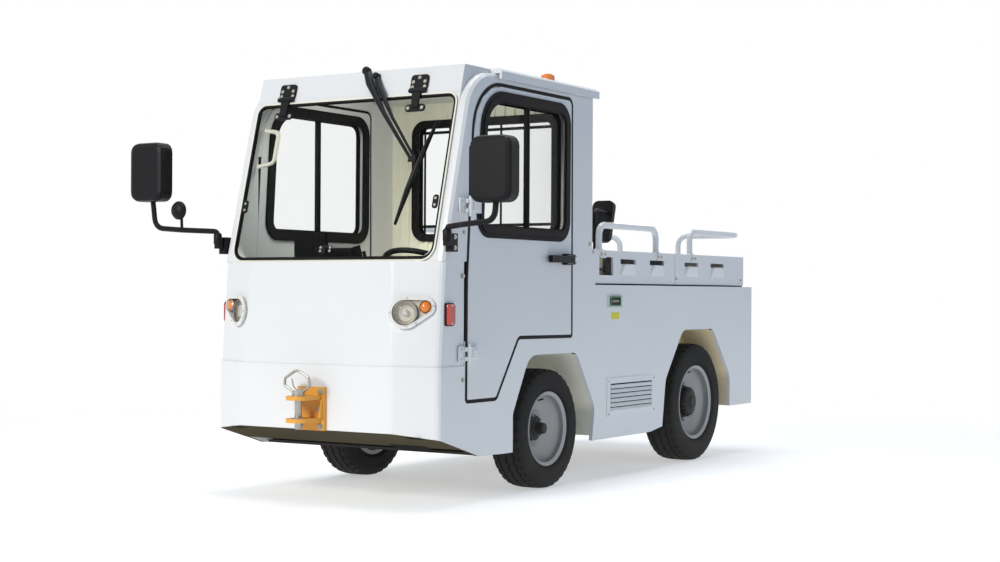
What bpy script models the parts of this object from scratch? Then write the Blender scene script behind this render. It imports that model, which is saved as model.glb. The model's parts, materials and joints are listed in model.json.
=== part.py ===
"""Airport baggage tug: an electric tow tractor with a two-door cab and a covered rear deck.

Metres, +Z up, ground at z = 0. The vehicle faces -Y and its left side is +X. Sizes along the
vehicle are measured from the foot of its front panel; place() moves them to the row's origin,
which is under the middle of the bounding box.
"""

import math

import bmesh
import bpy
from mathutils import Matrix, Vector

# Driving dimensions.
HALF_WIDTH = 0.63
TAIL = 3.446
MIDDLE = TAIL / 2
FRONT_AXLE = 1.067
REAR_AXLE = 2.730
SKIN = 0.020
GAP = 0.0003
SEAM = 0.006

# Body levels.
BOTTOM = 0.206
TAIL_BOTTOM = 0.292
LINER = 0.010
APRON_TOP = 0.621
PANEL_TOP = 1.085
BODY_TOP = 0.990
POST_TOP = 1.148
POST_REAR = 1.480
ROOF_UNDERSIDE = 1.952
FRONT_LEAN = 0.080
UNDERSIDE_SLOPE = -0.294
APRON_FOOT = 0.328

# Cab.
DOOR_FRONT = 0.285
PILLAR_FRONT = 1.244
PILLAR_REAR = 1.371
CAB_REAR = 1.446
FRAME_THICKNESS = 0.045
DOOR_THICKNESS = 0.037
DOOR_GAP = 0.013
DOOR_SILL = 0.731
GLASS = 0.006
PLATFORM = 0.700
FOOTWELL = 0.420
SCREEN_FOOT = (0.117, 1.094)
SCREEN_HEAD = (0.307, 1.833)
SCREEN_HALF_WIDTH = 0.570
HEADER_HALF_WIDTH = 0.584

# Deck covers.
COVER_FRONT = 1.487
COVER_SPLIT = 2.416
COVER_REAR = 3.348
COVER_BASE = 0.9985
COVER_TOP = 1.168
COVER_HALF_WIDTH = 0.618
COVER_HINGE = (-0.633, 0.998)
RAIL_HEIGHT = 0.130
RAIL_RADIUS = 0.017
MIRROR_FOOT = (0.540, 1.635)
MIRROR_SOCKET = 0.006

# Wheels: centre across the vehicle, along it, tyre radius, tyre width, rim flange radius.
WHEELS = {
    "front": dict(across=0.520, along=FRONT_AXLE, radius=0.290, width=0.175, flange=0.182),
    "rear": dict(across=0.512, along=REAR_AXLE, radius=0.332, width=0.190, flange=0.210),
}
WHEEL_SIDES = 24
KINGPIN = 0.430
KINGPIN_RADIUS = 0.016
KINGPIN_BORE = 0.018
SPINDLE_RADIUS = 0.022
BEAD_DEPTH = 0.012
RIM_INSET = 0.016
FLANGE = 0.008
DOOR_HINGE = (0.652, 0.285)
COLUMN_FOOT = (0.28, 0.17, 0.45)
COLUMN_HEAD = (0.28, 0.46, 1.06)
WHEEL_RIM_RADIUS = 0.185

# Colours: red, green, blue, roughness, metallic.
PAINTS = {
    "body_paint": (0.80, 0.81, 0.80, 0.35, 0.0),
    "door_paint": (0.78, 0.79, 0.79, 0.35, 0.0),
    "cab_trim": (0.62, 0.60, 0.50, 0.50, 0.0),
    "chassis_black": (0.03, 0.03, 0.03, 0.55, 0.3),
    "glass": (0.30, 0.38, 0.36, 0.05, 0.0),
    "hitch_yellow": (0.85, 0.42, 0.03, 0.45, 0.0),
    "steel": (0.60, 0.60, 0.62, 0.30, 1.0),
    "rim_silver": (0.50, 0.51, 0.52, 0.40, 0.8),
    "tyre": (0.03, 0.03, 0.03, 0.85, 0.0),
    "black_plastic": (0.03, 0.03, 0.035, 0.45, 0.0),
    "seat_cover": (0.05, 0.05, 0.06, 0.60, 0.0),
    "lamp": (0.85, 0.84, 0.80, 0.25, 0.0),
    "beacon_orange": (0.95, 0.30, 0.02, 0.20, 0.0),
    "arch_cream": (0.58, 0.55, 0.45, 0.70, 0.0),
    "battery": (0.10, 0.12, 0.12, 0.60, 0.0),
}


# ---------------------------------------------------------------- outlines

def rounded(corners, steps=4):
    """Outline through corners given as (a, b, fillet radius), each fillet an arc of steps."""
    outline = []
    count = len(corners)
    for index, (a, b, radius) in enumerate(corners):
        here = Vector((a, b))
        if radius <= 0:
            outline.append((a, b))
            continue
        before = (Vector(corners[index - 1][:2]) - here).normalized()
        after = (Vector(corners[(index + 1) % count][:2]) - here).normalized()
        half = before.angle(after) / 2
        reach = radius / math.tan(half)
        centre = here + (before + after).normalized() * (radius / math.sin(half))
        start = here + before * reach - centre
        sweep = (here + after * reach - centre).angle_signed(start)
        for step in range(steps + 1):
            turned = Matrix.Rotation(sweep * step / steps, 2) @ start
            outline.append(tuple(centre + turned))
    return outline


def offset(outline, distance):
    """Outline moved outward by distance (inward when negative), with mitred corners."""
    area = sum(a[0] * b[1] - b[0] * a[1] for a, b in zip(outline, outline[1:] + outline[:1]))
    side = 1 if area > 0 else -1
    moved = []
    count = len(outline)
    for index in range(count):
        here = Vector(outline[index])
        entering = (here - Vector(outline[index - 1])).normalized()
        leaving = (Vector(outline[(index + 1) % count]) - here).normalized()
        normals = [Vector((run.y, -run.x)) * side for run in (entering, leaving)]
        middle = (normals[0] + normals[1]).normalized()
        moved.append(tuple(here + middle * (distance / middle.dot(normals[0]))))
    return moved


def keyhole(big, small, spacing, rise, steps=9):
    """Outline round two circles: the big one at the origin, the small one at (spacing, rise)."""
    span = math.hypot(spacing, rise)
    tilt = math.atan2(rise, spacing)
    lean = math.acos((big - small) / span)
    outline = []
    for radius, centre, start, sweep in (
        (big, (0, 0), tilt + lean, 2 * math.pi - 2 * lean),
        (small, (spacing, rise), tilt - lean, 2 * lean),
    ):
        for step in range(steps + 1):
            angle = start + sweep * step / steps
            outline.append((centre[0] + radius * math.cos(angle),
                            centre[1] + radius * math.sin(angle)))
    return outline


# ---------------------------------------------------------------- solids

def axes_of(axis):
    """Where an outline's two numbers and its depth go for a prism along axis."""
    return {"X": (1, 2, 0), "Y": (0, 2, 1), "Z": (0, 1, 2)}[axis]


def closed(shape):
    bmesh.ops.recalc_face_normals(shape, faces=shape.faces)
    return shape


def stack(sections):
    """Closed solid through sections, each a ring of the same number of points."""
    shape = bmesh.new()
    rings = [[shape.verts.new(point) for point in section] for section in sections]
    for low, high in zip(rings, rings[1:]):
        for index in range(len(low)):
            shape.faces.new((low[index - 1], low[index], high[index], high[index - 1]))
    shape.faces.new(rings[0])
    shape.faces.new(rings[-1])
    return closed(shape)


def prism(outline, axis, low, high):
    first, second, depth = axes_of(axis)
    sections = []
    for level in (low, high):
        section = []
        for a, b in outline:
            point = [0.0, 0.0, 0.0]
            point[first], point[second], point[depth] = a, b, level
            section.append(point)
        sections.append(section)
    return stack(sections)


def box(x, y, z):
    """Box between pairs (low, high) along each axis."""
    return prism([(x[0], y[0]), (x[1], y[0]), (x[1], y[1]), (x[0], y[1])], "Z", *z)


def circle(centre, radius, sides):
    return [(centre[0] + radius * math.cos(2 * math.pi * k / sides),
             centre[1] + radius * math.sin(2 * math.pi * k / sides)) for k in range(sides)]


def drum(centre, radius, axis, low, high, sides=24):
    """Cylinder along axis; centre is its place in the other two directions."""
    return prism(circle(centre, radius, sides), axis, low, high)


def turned(profile, centre, sides=32):
    """Ring turned about the X axis through centre from a closed profile of (radius, x)."""
    shape = bmesh.new()
    rings = []
    for step in range(sides):
        angle = 2 * math.pi * step / sides
        rings.append([shape.verts.new((centre[0] + x, centre[1] + radius * math.cos(angle),
                                       centre[2] + radius * math.sin(angle)))
                      for radius, x in profile])
    for step in range(sides):
        low, high = rings[step - 1], rings[step]
        for index in range(len(profile)):
            shape.faces.new((low[index - 1], low[index], high[index], high[index - 1]))
    return closed(shape)


def tube(path, radius, sides=10):
    """Round bar along path with mitred bends and flat ends."""
    points = [Vector(point) for point in path]
    sections = []
    normal = None
    for index, point in enumerate(points):
        before = point - points[index - 1] if index else points[1] - point
        after = points[index + 1] - point if index + 1 < len(points) else before
        along = (before.normalized() + after.normalized()).normalized()
        if normal is None:
            normal = along.orthogonal().normalized()
        normal = (normal - along * normal.dot(along)).normalized()
        stretch = 1 / max(0.3, along.dot(after.normalized()))
        bend = before.normalized() - after.normalized()
        across = bend.normalized() if bend.length > 1e-6 else Vector((0, 0, 0))
        other = along.cross(normal)
        section = []
        for side in range(sides):
            angle = 2 * math.pi * side / sides
            reach = (normal * math.cos(angle) + other * math.sin(angle)) * radius
            section.append(point + reach + across * reach.dot(across) * (stretch - 1))
        sections.append(section)
    return stack(sections)


def bent(corners, steps=4):
    """Path through corners given as (x, y, z, bend radius)."""
    path = []
    for index, corner in enumerate(corners):
        here = Vector(corner[:3])
        radius = corner[3]
        if radius <= 0:
            path.append(here)
            continue
        before = (Vector(corners[index - 1][:3]) - here).normalized()
        after = (Vector(corners[index + 1][:3]) - here).normalized()
        half = before.angle(after) / 2
        reach = radius / math.tan(half)
        start, end = here + before * reach, here + after * reach
        centre = here + (before + after).normalized() * (radius / math.sin(half))
        first, last = (start - centre).normalized(), (end - centre).normalized()
        for step in range(steps + 1):
            path.append(centre + first.slerp(last, step / steps) * radius)
    return path


def moved(shape, matrix):
    bmesh.ops.transform(shape, matrix=matrix, verts=shape.verts)
    return closed(shape)


def mirrored(shape):
    return moved(shape, Matrix.Scale(-1, 4, (1, 0, 0)))


def soften(shape, width, segments, chosen):
    """Bevel the edges whose two ends both satisfy chosen(point)."""
    edges = [edge for edge in shape.edges if all(chosen(vert.co) for vert in edge.verts)]
    bmesh.ops.bevel(shape, geom=edges, offset=width, segments=segments, profile=0.5,
                    affect="EDGES", clamp_overlap=True)
    return closed(shape)


# ---------------------------------------------------------------- objects

def clear_scene():
    for thing in list(bpy.data.objects):
        bpy.data.objects.remove(thing, do_unlink=True)


def paint(name):
    if name in bpy.data.materials and bpy.data.materials[name].use_nodes:
        return bpy.data.materials[name]
    red, green, blue, roughness, metallic = PAINTS[name]
    material = bpy.data.materials.new(name)
    material.use_nodes = True
    shader = material.node_tree.nodes["Principled BSDF"]
    shader.inputs["Base Color"].default_value = (red, green, blue, 1)
    shader.inputs["Roughness"].default_value = roughness
    shader.inputs["Metallic"].default_value = metallic
    material.diffuse_color = (red, green, blue, 1)
    return material


def place(point):
    """World position of a point measured from the foot of the front panel."""
    return Vector((point[0], point[1] - MIDDLE, point[2]))


def object_from(shape, name):
    mesh = bpy.data.meshes.new(name)
    shape.to_mesh(mesh)
    shape.free()
    thing = bpy.data.objects.new(name, mesh)
    bpy.context.scene.collection.objects.link(thing)
    return thing


def node(name, colour, joined, cuts=(), pivot=(0, 0, 0)):
    """One named object: the union of the joined solids less the cuts, its origin on pivot."""
    shift = Matrix.Translation(-Vector(pivot))
    base = object_from(moved(joined[0], shift), name)
    helpers = []
    for operation, shapes in (("UNION", joined[1:]), ("DIFFERENCE", cuts)):
        for shape in shapes:
            helper = object_from(moved(shape, shift), name + "_helper")
            helper.hide_render = True
            helper.display_type = "WIRE"
            change = base.modifiers.new(operation.lower(), "BOOLEAN")
            change.operation = operation
            change.solver = "EXACT"
            change.object = helper
            helpers.append(helper)
    if helpers:
        graph = bpy.context.evaluated_depsgraph_get()
        mesh = bpy.data.meshes.new_from_object(base.evaluated_get(graph))
        base.modifiers.clear()
        base.data = mesh
        for helper in helpers:
            bpy.data.objects.remove(helper, do_unlink=True)
    base.data.materials.clear()
    base.data.materials.append(paint(colour))
    base.data.shade_smooth()
    base.data.set_sharp_from_angle(angle=math.radians(35))
    base.location = place(pivot)
    return base


SIDES = (("left", 1), ("right", -1))


def on_side(shape, sign):
    """The solid as built for the left side, or its mirror image for the right."""
    return shape if sign > 0 else mirrored(shape)


# ---------------------------------------------------------------- outlines of the vehicle

DOOR_OPENING = rounded([
    (DOOR_FRONT, 0.457, 0.018),
    (0.543, 0.457, 0.040),
    (0.738, 0.734, 0.030),
    (PILLAR_FRONT, DOOR_SILL, 0.018),
    (PILLAR_FRONT - 0.006, 1.905, 0.040),
    (0.347, 1.905, 0.240),
    (DOOR_FRONT + 0.002, 1.000, 0.0),
])
DOOR_LEAF = offset(DOOR_OPENING, -DOOR_GAP)
DOOR_WINDOW = rounded([
    (0.388, 1.222, 0.070),
    (1.184, 1.222, 0.080),
    (1.188, 1.846, 0.080),
    (0.430, 1.846, 0.170),
])
FRONT_ARCH = rounded([
    (0.690, 0.10, 0.0),
    (0.690, 0.385, 0.060),
    (0.838, 0.653, 0.110),
    (1.292, 0.653, 0.070),
    (1.481, 0.375, 0.080),
    (1.440, 0.10, 0.0),
])
REAR_ARCH = rounded([
    (2.225, 0.10, 0.0),
    (2.285, 0.480, 0.110),
    (2.500, 0.747, 0.090),
    (2.895, 0.747, 0.080),
    (3.131, 0.470, 0.100),
    (3.131, 0.10, 0.0),
])


def front_plan(inset, setback, fold, rear):
    """Plan of the front sheet: flat middle, angled corners, short returns to rear."""
    corner = (HALF_WIDTH - inset, 0.085 + setback)
    right = [(-corner[0], rear, 0.0), (-corner[0], corner[1], 0.035), (-fold, setback, 0.060)]
    return rounded(right + [(-x, y, radius) for x, y, radius in reversed(right)], 3)


# ---------------------------------------------------------------- frame and running gear

def chassis():
    low, high = 0.200, 0.262
    joined = [box((-high, high), (0.42, 0.48), (0.345, 0.405))]
    rail = [(0.43, 0.345), (2.20, 0.345), (2.32, 0.445), (3.42, 0.445), (3.42, 0.505),
            (2.29, 0.505), (2.17, 0.405), (0.43, 0.405)]
    for sign in (1, -1):
        joined.append(prism(rail, "X", *sorted((sign * low, sign * high))))
        joined.append(box(sorted((sign * (low + 0.004), sign * (high - 0.004))),
                          (1.55, 2.15), (0.290, 0.440)))
    for along, foot in ((1.515, 0.348), (2.120, 0.348), (3.370, 0.448)):
        joined.append(box((-0.605, 0.605), (along, along + 0.045), (foot, foot + 0.054)))
    joined.append(box((-0.60, 0.60), (0.41, 0.675), (0.212, 0.224)))
    joined.append(box((-0.60, 0.60), (0.44, 0.47), (0.220, 0.350)))
    return node("chassis_frame", "chassis_black", joined)


def leaf_spring(across, along, reach, low, high, sheet=0.018, width=0.025):
    """Arched spring pack: flat on the axle at low, ends at high."""
    steps = 6
    upper = [(along + reach * k / steps,
              low + sheet + (high - low - sheet) * (k / steps) ** 2)
             for k in range(-steps, steps + 1)]
    lower = [(y, z - sheet) for y, z in reversed(upper)]
    return prism(upper + lower, "X", across - width, across + width)


def front_axle():
    centre = WHEELS["front"]["radius"]
    joined = [box((-0.36, 0.36), (FRONT_AXLE - 0.035, FRONT_AXLE + 0.035), (0.215, 0.275))]
    for sign in (1, -1):
        joined.append(box(sorted((sign * 0.30, sign * (KINGPIN - 0.005))),
                          (FRONT_AXLE - 0.020, FRONT_AXLE + 0.020), (0.258, 0.322)))
        joined.append(drum((sign * KINGPIN, FRONT_AXLE), 0.028, "Z", 0.257, 0.323, 16))
        joined.append(leaf_spring(sign * 0.231, FRONT_AXLE, 0.29, 0.272, 0.340))
    cuts = [drum((sign * KINGPIN, FRONT_AXLE), KINGPIN_BORE, "Z", 0.2, centre + 0.1, 16)
            for sign in (1, -1)]
    return node("front_axle", "chassis_black", joined, cuts)


def rear_axle():
    wheel = WHEELS["rear"]
    level = wheel["radius"]
    joined = [drum((REAR_AXLE, level), 0.045, "X", -0.395, 0.395, 14)]
    joined.append(drum((REAR_AXLE, level), SPINDLE_RADIUS + 0.006, "X", -0.545, 0.545, 16))
    joined.append(turned([(0.030, -0.130), (0.090, -0.105), (0.125, -0.04), (0.125, 0.04),
                          (0.090, 0.105), (0.030, 0.130)], (0, REAR_AXLE, level), 16))
    for sign in (1, -1):
        joined.append(leaf_spring(sign * 0.231, REAR_AXLE, 0.33, 0.372, 0.435, 0.016))
        joined.append(box(sorted((sign * 0.205, sign * 0.257)),
                          (REAR_AXLE - 0.06, REAR_AXLE + 0.06), (0.300, 0.376)))
    return node("rear_axle", "chassis_black", joined)


def drive_motor():
    return node("drive_motor", "battery", [box((-0.11, 0.11), (2.30, 2.595), (0.235, 0.440))])


def battery():
    return node("battery_block", "battery", [box((-0.52, 0.52), (1.58, 2.10), (0.445, 0.93))])


def knuckle(side, sign):
    """Stub axle: fork round the axle end, back plate, spindle and steering arm."""
    level = WHEELS["front"]["radius"]
    reach = (FRONT_AXLE - 0.030, FRONT_AXLE + 0.030)
    joined = [box((KINGPIN + 0.034, KINGPIN + 0.056), reach, (0.225, 0.356))]
    for low in (0.225, 0.330):
        joined.append(box((KINGPIN, KINGPIN + 0.040), reach, (low, low + 0.026)))
        joined.append(drum((KINGPIN, FRONT_AXLE), 0.030, "Z", low, low + 0.026, 16))
    joined.append(drum((KINGPIN, FRONT_AXLE), KINGPIN_RADIUS, "Z", 0.230, 0.350, 12))
    joined.append(drum((FRONT_AXLE, level), SPINDLE_RADIUS, "X", KINGPIN + 0.050, 0.560, 16))
    joined.append(box((KINGPIN - 0.020, KINGPIN + 0.004),
                      (FRONT_AXLE, FRONT_AXLE + 0.150), (0.228, 0.246)))
    shapes = [on_side(shape, sign) for shape in joined]
    return node(f"steering_knuckle_{side}", "chassis_black", shapes,
                pivot=(sign * KINGPIN, FRONT_AXLE, level))


def tyre(end, side, sign):
    """Solid tyre section, its beads between the rim's flanges."""
    wheel = WHEELS[end]
    half, radius, flange = wheel["width"] / 2, wheel["radius"], wheel["flange"]
    seat, inside = flange - BEAD_DEPTH, half - RIM_INSET - 0.0005
    outward = [(seat, inside), (flange + 0.003, inside), (flange + 0.014, half - 0.003),
               (radius - 0.055, half), (radius - 0.020, half - 0.010),
               (radius - 0.004, half - 0.028)]
    profile = [(r, -x) for r, x in outward] + [(radius, 0.0)] + outward[::-1]
    centre = (sign * wheel["across"], wheel["along"], radius)
    return node(f"tyre_{end}_{side}", "tyre", [turned(profile, centre, WHEEL_SIDES)], pivot=centre)


def rim(end, side, sign):
    """Deep rim: flanged barrel with a disc on its hub."""
    wheel = WHEELS[end]
    edge, flange = wheel["width"] / 2 - RIM_INSET, wheel["flange"]
    seat = flange - BEAD_DEPTH - GAP
    barrel = seat - 0.008
    bore = SPINDLE_RADIUS + (0.0015 if end == "front" else 0.0075)
    profile = [
        (bore, -0.010), (0.075, -0.010), (0.085, 0.006), (barrel - 0.028, 0.016),
        (barrel, 0.044), (barrel, edge + FLANGE), (flange, edge + FLANGE), (flange, edge),
        (seat, edge), (seat, -edge), (flange, -edge), (flange, -edge - FLANGE),
        (barrel, -edge - FLANGE), (barrel - 0.028, -0.002), (0.090, -0.006), (0.080, -0.022),
        (bore, -0.022),
    ]
    centre = (sign * wheel["across"], wheel["along"], wheel["radius"])
    shape = on_side(turned(profile, (abs(centre[0]), centre[1], centre[2]), WHEEL_SIDES), sign)
    return node(f"rim_{end}_{side}", "rim_silver", [shape], pivot=centre)


# ---------------------------------------------------------------- body

def beneath_nose(lift):
    """Everything under the sloping underside of the nose, raised by lift."""
    foot, back = APRON_FOOT + lift, 0.6
    return prism([(-0.1, foot - UNDERSIDE_SLOPE * 0.1), (back, foot + UNDERSIDE_SLOPE * back),
                  (back, -0.1), (-0.1, -0.1)], "X", -1, 1)


def front_apron():
    """Proud lower front sheet with its returns and sloping underside."""
    outer = prism(front_plan(0, 0, 0.430, 0.275), "Z", BOTTOM, APRON_TOP)
    plan = front_plan(SKIN, SKIN, 0.425, 0.4)
    sections = []
    for level in (None, APRON_TOP + 0.1):
        sections.append([(x, y, APRON_FOOT + 0.015 + UNDERSIDE_SLOPE * y if level is None
                          else level) for x, y in plan])
    return node("front_apron", "body_paint", [outer], [beneath_nose(0), stack(sections)])


def front_panel():
    """Upper front sheet, leaning back, with a lamp opening on each angled corner."""
    lean = (PANEL_TOP - APRON_TOP) * FRONT_LEAN
    levels = ((APRON_TOP + GAP, 0.004, 0.420), (PANEL_TOP, 0.004 + lean, 0.400))
    sections, hollows = [], []
    for level, setback, fold in levels:
        sections.append([(x, y, level) for x, y in front_plan(0.004, setback, fold, 0.275)])
    low, high = levels
    for level, setback, fold in ((low[0] - 0.1, low[1] - 0.1 * FRONT_LEAN, low[2]),
                                 (high[0] + 0.1, high[1] + 0.1 * FRONT_LEAN, high[2])):
        plan = front_plan(0.004 + SKIN, setback + SKIN, fold - 0.005, 0.4)
        hollows.append([(x, y, level) for x, y in plan])
    cuts = [stack(hollows)]
    for _, sign in SIDES:
        cuts.append(on_side(moved(prism(LAMP_BODY, "Y", -0.05, 0.15), LAMP_PLACE), sign))
    return node("front_panel", "body_paint", [stack(sections)], cuts)


LAMP_CENTRE = Vector((0.471, 0.042, 0.857))
LAMP_ANGLE = math.radians(24)
LAMP_PLACE = Matrix.Translation(LAMP_CENTRE) @ Matrix.Rotation(LAMP_ANGLE, 4, "Z") \
    @ Matrix.Rotation(-math.atan(FRONT_LEAN), 4, "X")
LAMP_FLANGE = keyhole(0.072, 0.043, 0.092, 0.026)
LAMP_BODY = keyhole(0.062, 0.035, 0.092, 0.026)
LAMP_POCKET = keyhole(0.058, 0.031, 0.092, 0.026)


def headlight(side, sign):
    joined = [prism(LAMP_FLANGE, "Y", -0.010, -0.004),
              prism(offset(LAMP_BODY, -0.001), "Y", -0.006, 0.080)]
    cuts = [prism(LAMP_POCKET, "Y", -0.05, 0.070)]
    return node(f"headlight_{side}", "lamp",
                [on_side(moved(shape, LAMP_PLACE), sign) for shape in joined],
                [on_side(moved(shape, LAMP_PLACE), sign) for shape in cuts])


def body_side(side, sign):
    """Long lower side panel with both wheel arches and the step for the door."""
    outline = [(0.2753, 0.248), (0.391, 0.213), (0.60, BOTTOM), (2.10, BOTTOM),
               (2.70, TAIL_BOTTOM), (TAIL, TAIL_BOTTOM), (TAIL, BODY_TOP),
               (POST_REAR, BODY_TOP), (POST_REAR, POST_TOP), (PILLAR_REAR + GAP, POST_TOP),
               (PILLAR_REAR + GAP, DOOR_SILL - GAP), (0.2753, DOOR_SILL - GAP)]
    cuts = [prism(arch, "X", 0.5, 0.7) for arch in (FRONT_ARCH, REAR_ARCH)]
    cuts.append(prism(DOOR_OPENING, "X", 0.5, 0.7))
    panel = prism(outline, "X", HALF_WIDTH - SKIN, HALF_WIDTH)
    return node(f"body_side_{side}", "body_paint", [on_side(panel, sign)],
                [on_side(cut, sign) for cut in cuts])


def tail_panel():
    reach = HALF_WIDTH - SKIN - GAP
    return node("tail_panel", "body_paint",
                [box((-reach, reach), (TAIL - SKIN, TAIL), (TAIL_BOTTOM, BODY_TOP))])


def liner(outline, inner, foot):
    """Housings behind both arches of an axle: bands open underneath and an inner wall down to
    foot. Returns the solids and their cuts."""
    outer = HALF_WIDTH - SKIN - GAP
    reach = (min(y for y, _ in outline) - 0.02, max(y for y, _ in outline) + 0.02)
    housings, cuts = [], [box((-1, 1), (0, 4), (0, 0.23))]
    for _, sign in SIDES:
        shell = prism(offset(outline, LINER), "X", inner - LINER, outer)
        housings.append(on_side(shell, sign))
        cuts.append(on_side(prism(outline, "X", inner, outer + 0.1), sign))
        cuts.append(on_side(box((inner - 0.1, inner + 0.002), reach, (0, foot)), sign))
    return housings, cuts


def deck_frame():
    """Shelf under the covers, open over the battery and the drive, with the rear arch liners."""
    reach = HALF_WIDTH - SKIN - GAP
    housings, cuts = liner(REAR_ARCH, 0.400, 0.420)
    cuts.append(box((-1, 1), (REAR_AXLE, 4), (0, TAIL_BOTTOM)))
    cuts += [box((-0.53, 0.53), (1.56, 2.36), (0.9, 1.1)),
             box((-0.53, 0.53), (2.46, 3.28), (0.9, 1.1))]
    joined = [box((-reach, reach), (COVER_FRONT + 0.01, TAIL - SKIN - GAP),
                  (BODY_TOP - 0.030, BODY_TOP - 0.010))]
    for _, sign in SIDES:
        joined.append(box(sorted((sign * 0.580, sign * 0.592)), (2.46, 2.94),
                          (0.752, BODY_TOP - 0.020)))
    return node("deck_frame", "arch_cream", joined + housings, cuts)


def cab_floor():
    """Footwell, riser and seat platform, with the front arch liners welded beneath."""
    top = [(0.105, FOOTWELL), (0.610, FOOTWELL), (0.790, PLATFORM), (1.415, PLATFORM)]
    under = [(1.415, PLATFORM - 0.012), (0.797, PLATFORM - 0.012), (0.617, FOOTWELL - 0.012),
             (0.105, FOOTWELL - 0.012)]
    reach = 0.585
    housings, cuts = liner(FRONT_ARCH, 0.274, 0.410)
    joined = [prism(top + under, "X", -reach, reach)]
    for _, sign in SIDES:
        joined.append(box(sorted((sign * 0.31, sign * 0.58)), (0.93, 1.22), (0.657, 0.690)))
    return node("cab_floor", "cab_trim", joined + housings, cuts)


# ---------------------------------------------------------------- cab

def screen_at(level, shift=0.0):
    """Place along the vehicle of the windscreen plane at a height."""
    slope = (SCREEN_HEAD[0] - SCREEN_FOOT[0]) / (SCREEN_HEAD[1] - SCREEN_FOOT[1])
    return SCREEN_FOOT[0] + (level - SCREEN_FOOT[1]) * slope + shift


def side_frame(side, sign):
    """Door surround: windscreen pillar, roof rail and rear pillar, with a rounded front edge."""
    low, high = PANEL_TOP + GAP, ROOF_UNDERSIDE - GAP
    outline = rounded([
        (screen_at(low, -0.006), low, 0.0),
        (DOOR_FRONT + 0.02, low, 0.0),
        (DOOR_FRONT + 0.02, 1.6, 0.0),
        (1.0, 1.6, 0.0),
        (1.0, 0.6, 0.0),
        (PILLAR_REAR, 0.6, 0.0),
        (PILLAR_REAR, POST_TOP + GAP, 0.0),
        (CAB_REAR, POST_TOP + GAP, 0.0),
        (CAB_REAR, high, 0.0),
        (screen_at(high, -0.006), high, 0.230),
    ], 6)
    shape = prism(outline, "X", HALF_WIDTH - FRAME_THICKNESS, HALF_WIDTH)
    soften(shape, 0.032, 3, lambda p: p.x > HALF_WIDTH - 0.001
           and (p.y < screen_at(p.z) + 0.002 or (p.z > 1.70 and p.y < 0.60 and p.z > p.y + 1.2)))
    cuts = [prism(DOOR_OPENING, "X", 0.5, 0.7),
            box((0.5, 0.7), (1.0, 1.6), (0.5, DOOR_SILL))]
    return node(f"cab_side_frame_{side}", "body_paint", [on_side(shape, sign)],
                [on_side(cut, sign) for cut in cuts])


def screen_frame():
    """White surround of the windscreen."""
    low, high = PANEL_TOP + GAP, 1.8475
    reach = HALF_WIDTH - FRAME_THICKNESS - GAP
    sheet = prism([(screen_at(low, -0.006), low), (screen_at(low, 0.024), low),
                   (screen_at(high, 0.024), high), (screen_at(high, -0.006), high)],
                  "X", -reach, reach)
    hole = screen_outline(SCREEN_HALF_WIDTH - 0.012, SCREEN_FOOT[1] + 0.012, SCREEN_HEAD[1])
    return node("windscreen_surround", "body_paint", [sheet], [prism(hole, "Y", -0.2, 0.8)])


def screen_outline(reach, low, high):
    return rounded([(-reach, low, 0.060), (reach, low, 0.060), (reach, high, 0.045),
                    (-reach, high, 0.045)])


def windscreen():
    """Pane on the outside of its surround, lying in the leaning plane."""
    low, high = SCREEN_FOOT[1], 1.840
    outline = screen_outline(SCREEN_HALF_WIDTH, low, high)
    sections = [[(x, screen_at(z, shift), z) for x, z in outline] for shift in (-0.013, -0.0065)]
    return node("windscreen_glass", "glass", [stack(sections)])


def header_panel():
    """Box above the windscreen, closed at its ends."""
    front = [(0.304, 1.848), (0.340, 1.974), (0.545, 1.974), (0.545, 1.956), (0.3565, 1.956),
             (0.326, 1.848)]
    gusset = [(0.306, 1.850), (0.340, 1.970), (0.545, 1.970), (0.545, 1.955), (0.345, 1.850)]
    joined = [prism(front, "X", -HEADER_HALF_WIDTH, HEADER_HALF_WIDTH)]
    for sign in (1, -1):
        joined.append(prism(gusset, "X", *sorted((sign * (HEADER_HALF_WIDTH - 0.012),
                                                  sign * (HEADER_HALF_WIDTH - 0.0001)))))
    return node("header_panel", "body_paint", joined)


def roof():
    """Crowned sheet with a drip rail down each side."""
    half = [(0.632, 1.975), (0.650, 1.962), (0.650, 1.926), (0.6375, 1.926), (0.6375, 1.952)]
    outline = [(0.0, 1.984)] + half + [(-x, z) for x, z in reversed(half)]
    return node("roof", "body_paint", [prism(outline, "Y", 0.5456, 1.478)])


def rear_wall():
    reach = HALF_WIDTH - FRAME_THICKNESS - GAP
    window = rounded([(-0.43, 1.24, 0.06), (0.43, 1.24, 0.06), (0.43, 1.84, 0.06),
                      (-0.43, 1.84, 0.06)])
    return node("cab_rear_wall", "cab_trim",
                [box((-reach, reach), (CAB_REAR - 0.028, CAB_REAR - GAP),
                     (PLATFORM + GAP, ROOF_UNDERSIDE - GAP))],
                [prism(window, "Y", 1.3, 1.5)])


def rear_glass():
    pane = rounded([(-0.429, 1.241, 0.059), (0.429, 1.241, 0.059), (0.429, 1.839, 0.059),
                    (-0.429, 1.839, 0.059)])
    return node("rear_window_glass", "glass", [prism(pane, "Y", 1.428, 1.434)])


def window_guard():
    """Bars outside the rear window: two rails and six uprights."""
    along = CAB_REAR + 0.012
    joined = [tube([(-0.47, along, level), (0.47, along, level)], 0.008, 6)
              for level in (1.300, 1.800)]
    for index in range(6):
        across = -0.40 + 0.16 * index
        joined.append(tube([(across, along, 1.26), (across, along, 1.85)], 0.006, 6))
    for across in (-0.455, 0.455):
        for level in (1.300, 1.800):
            joined.append(box((across - 0.012, across + 0.012), (CAB_REAR, along),
                              (level - 0.012, level + 0.012)))
    return node("rear_window_guard", "black_plastic", joined)


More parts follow.
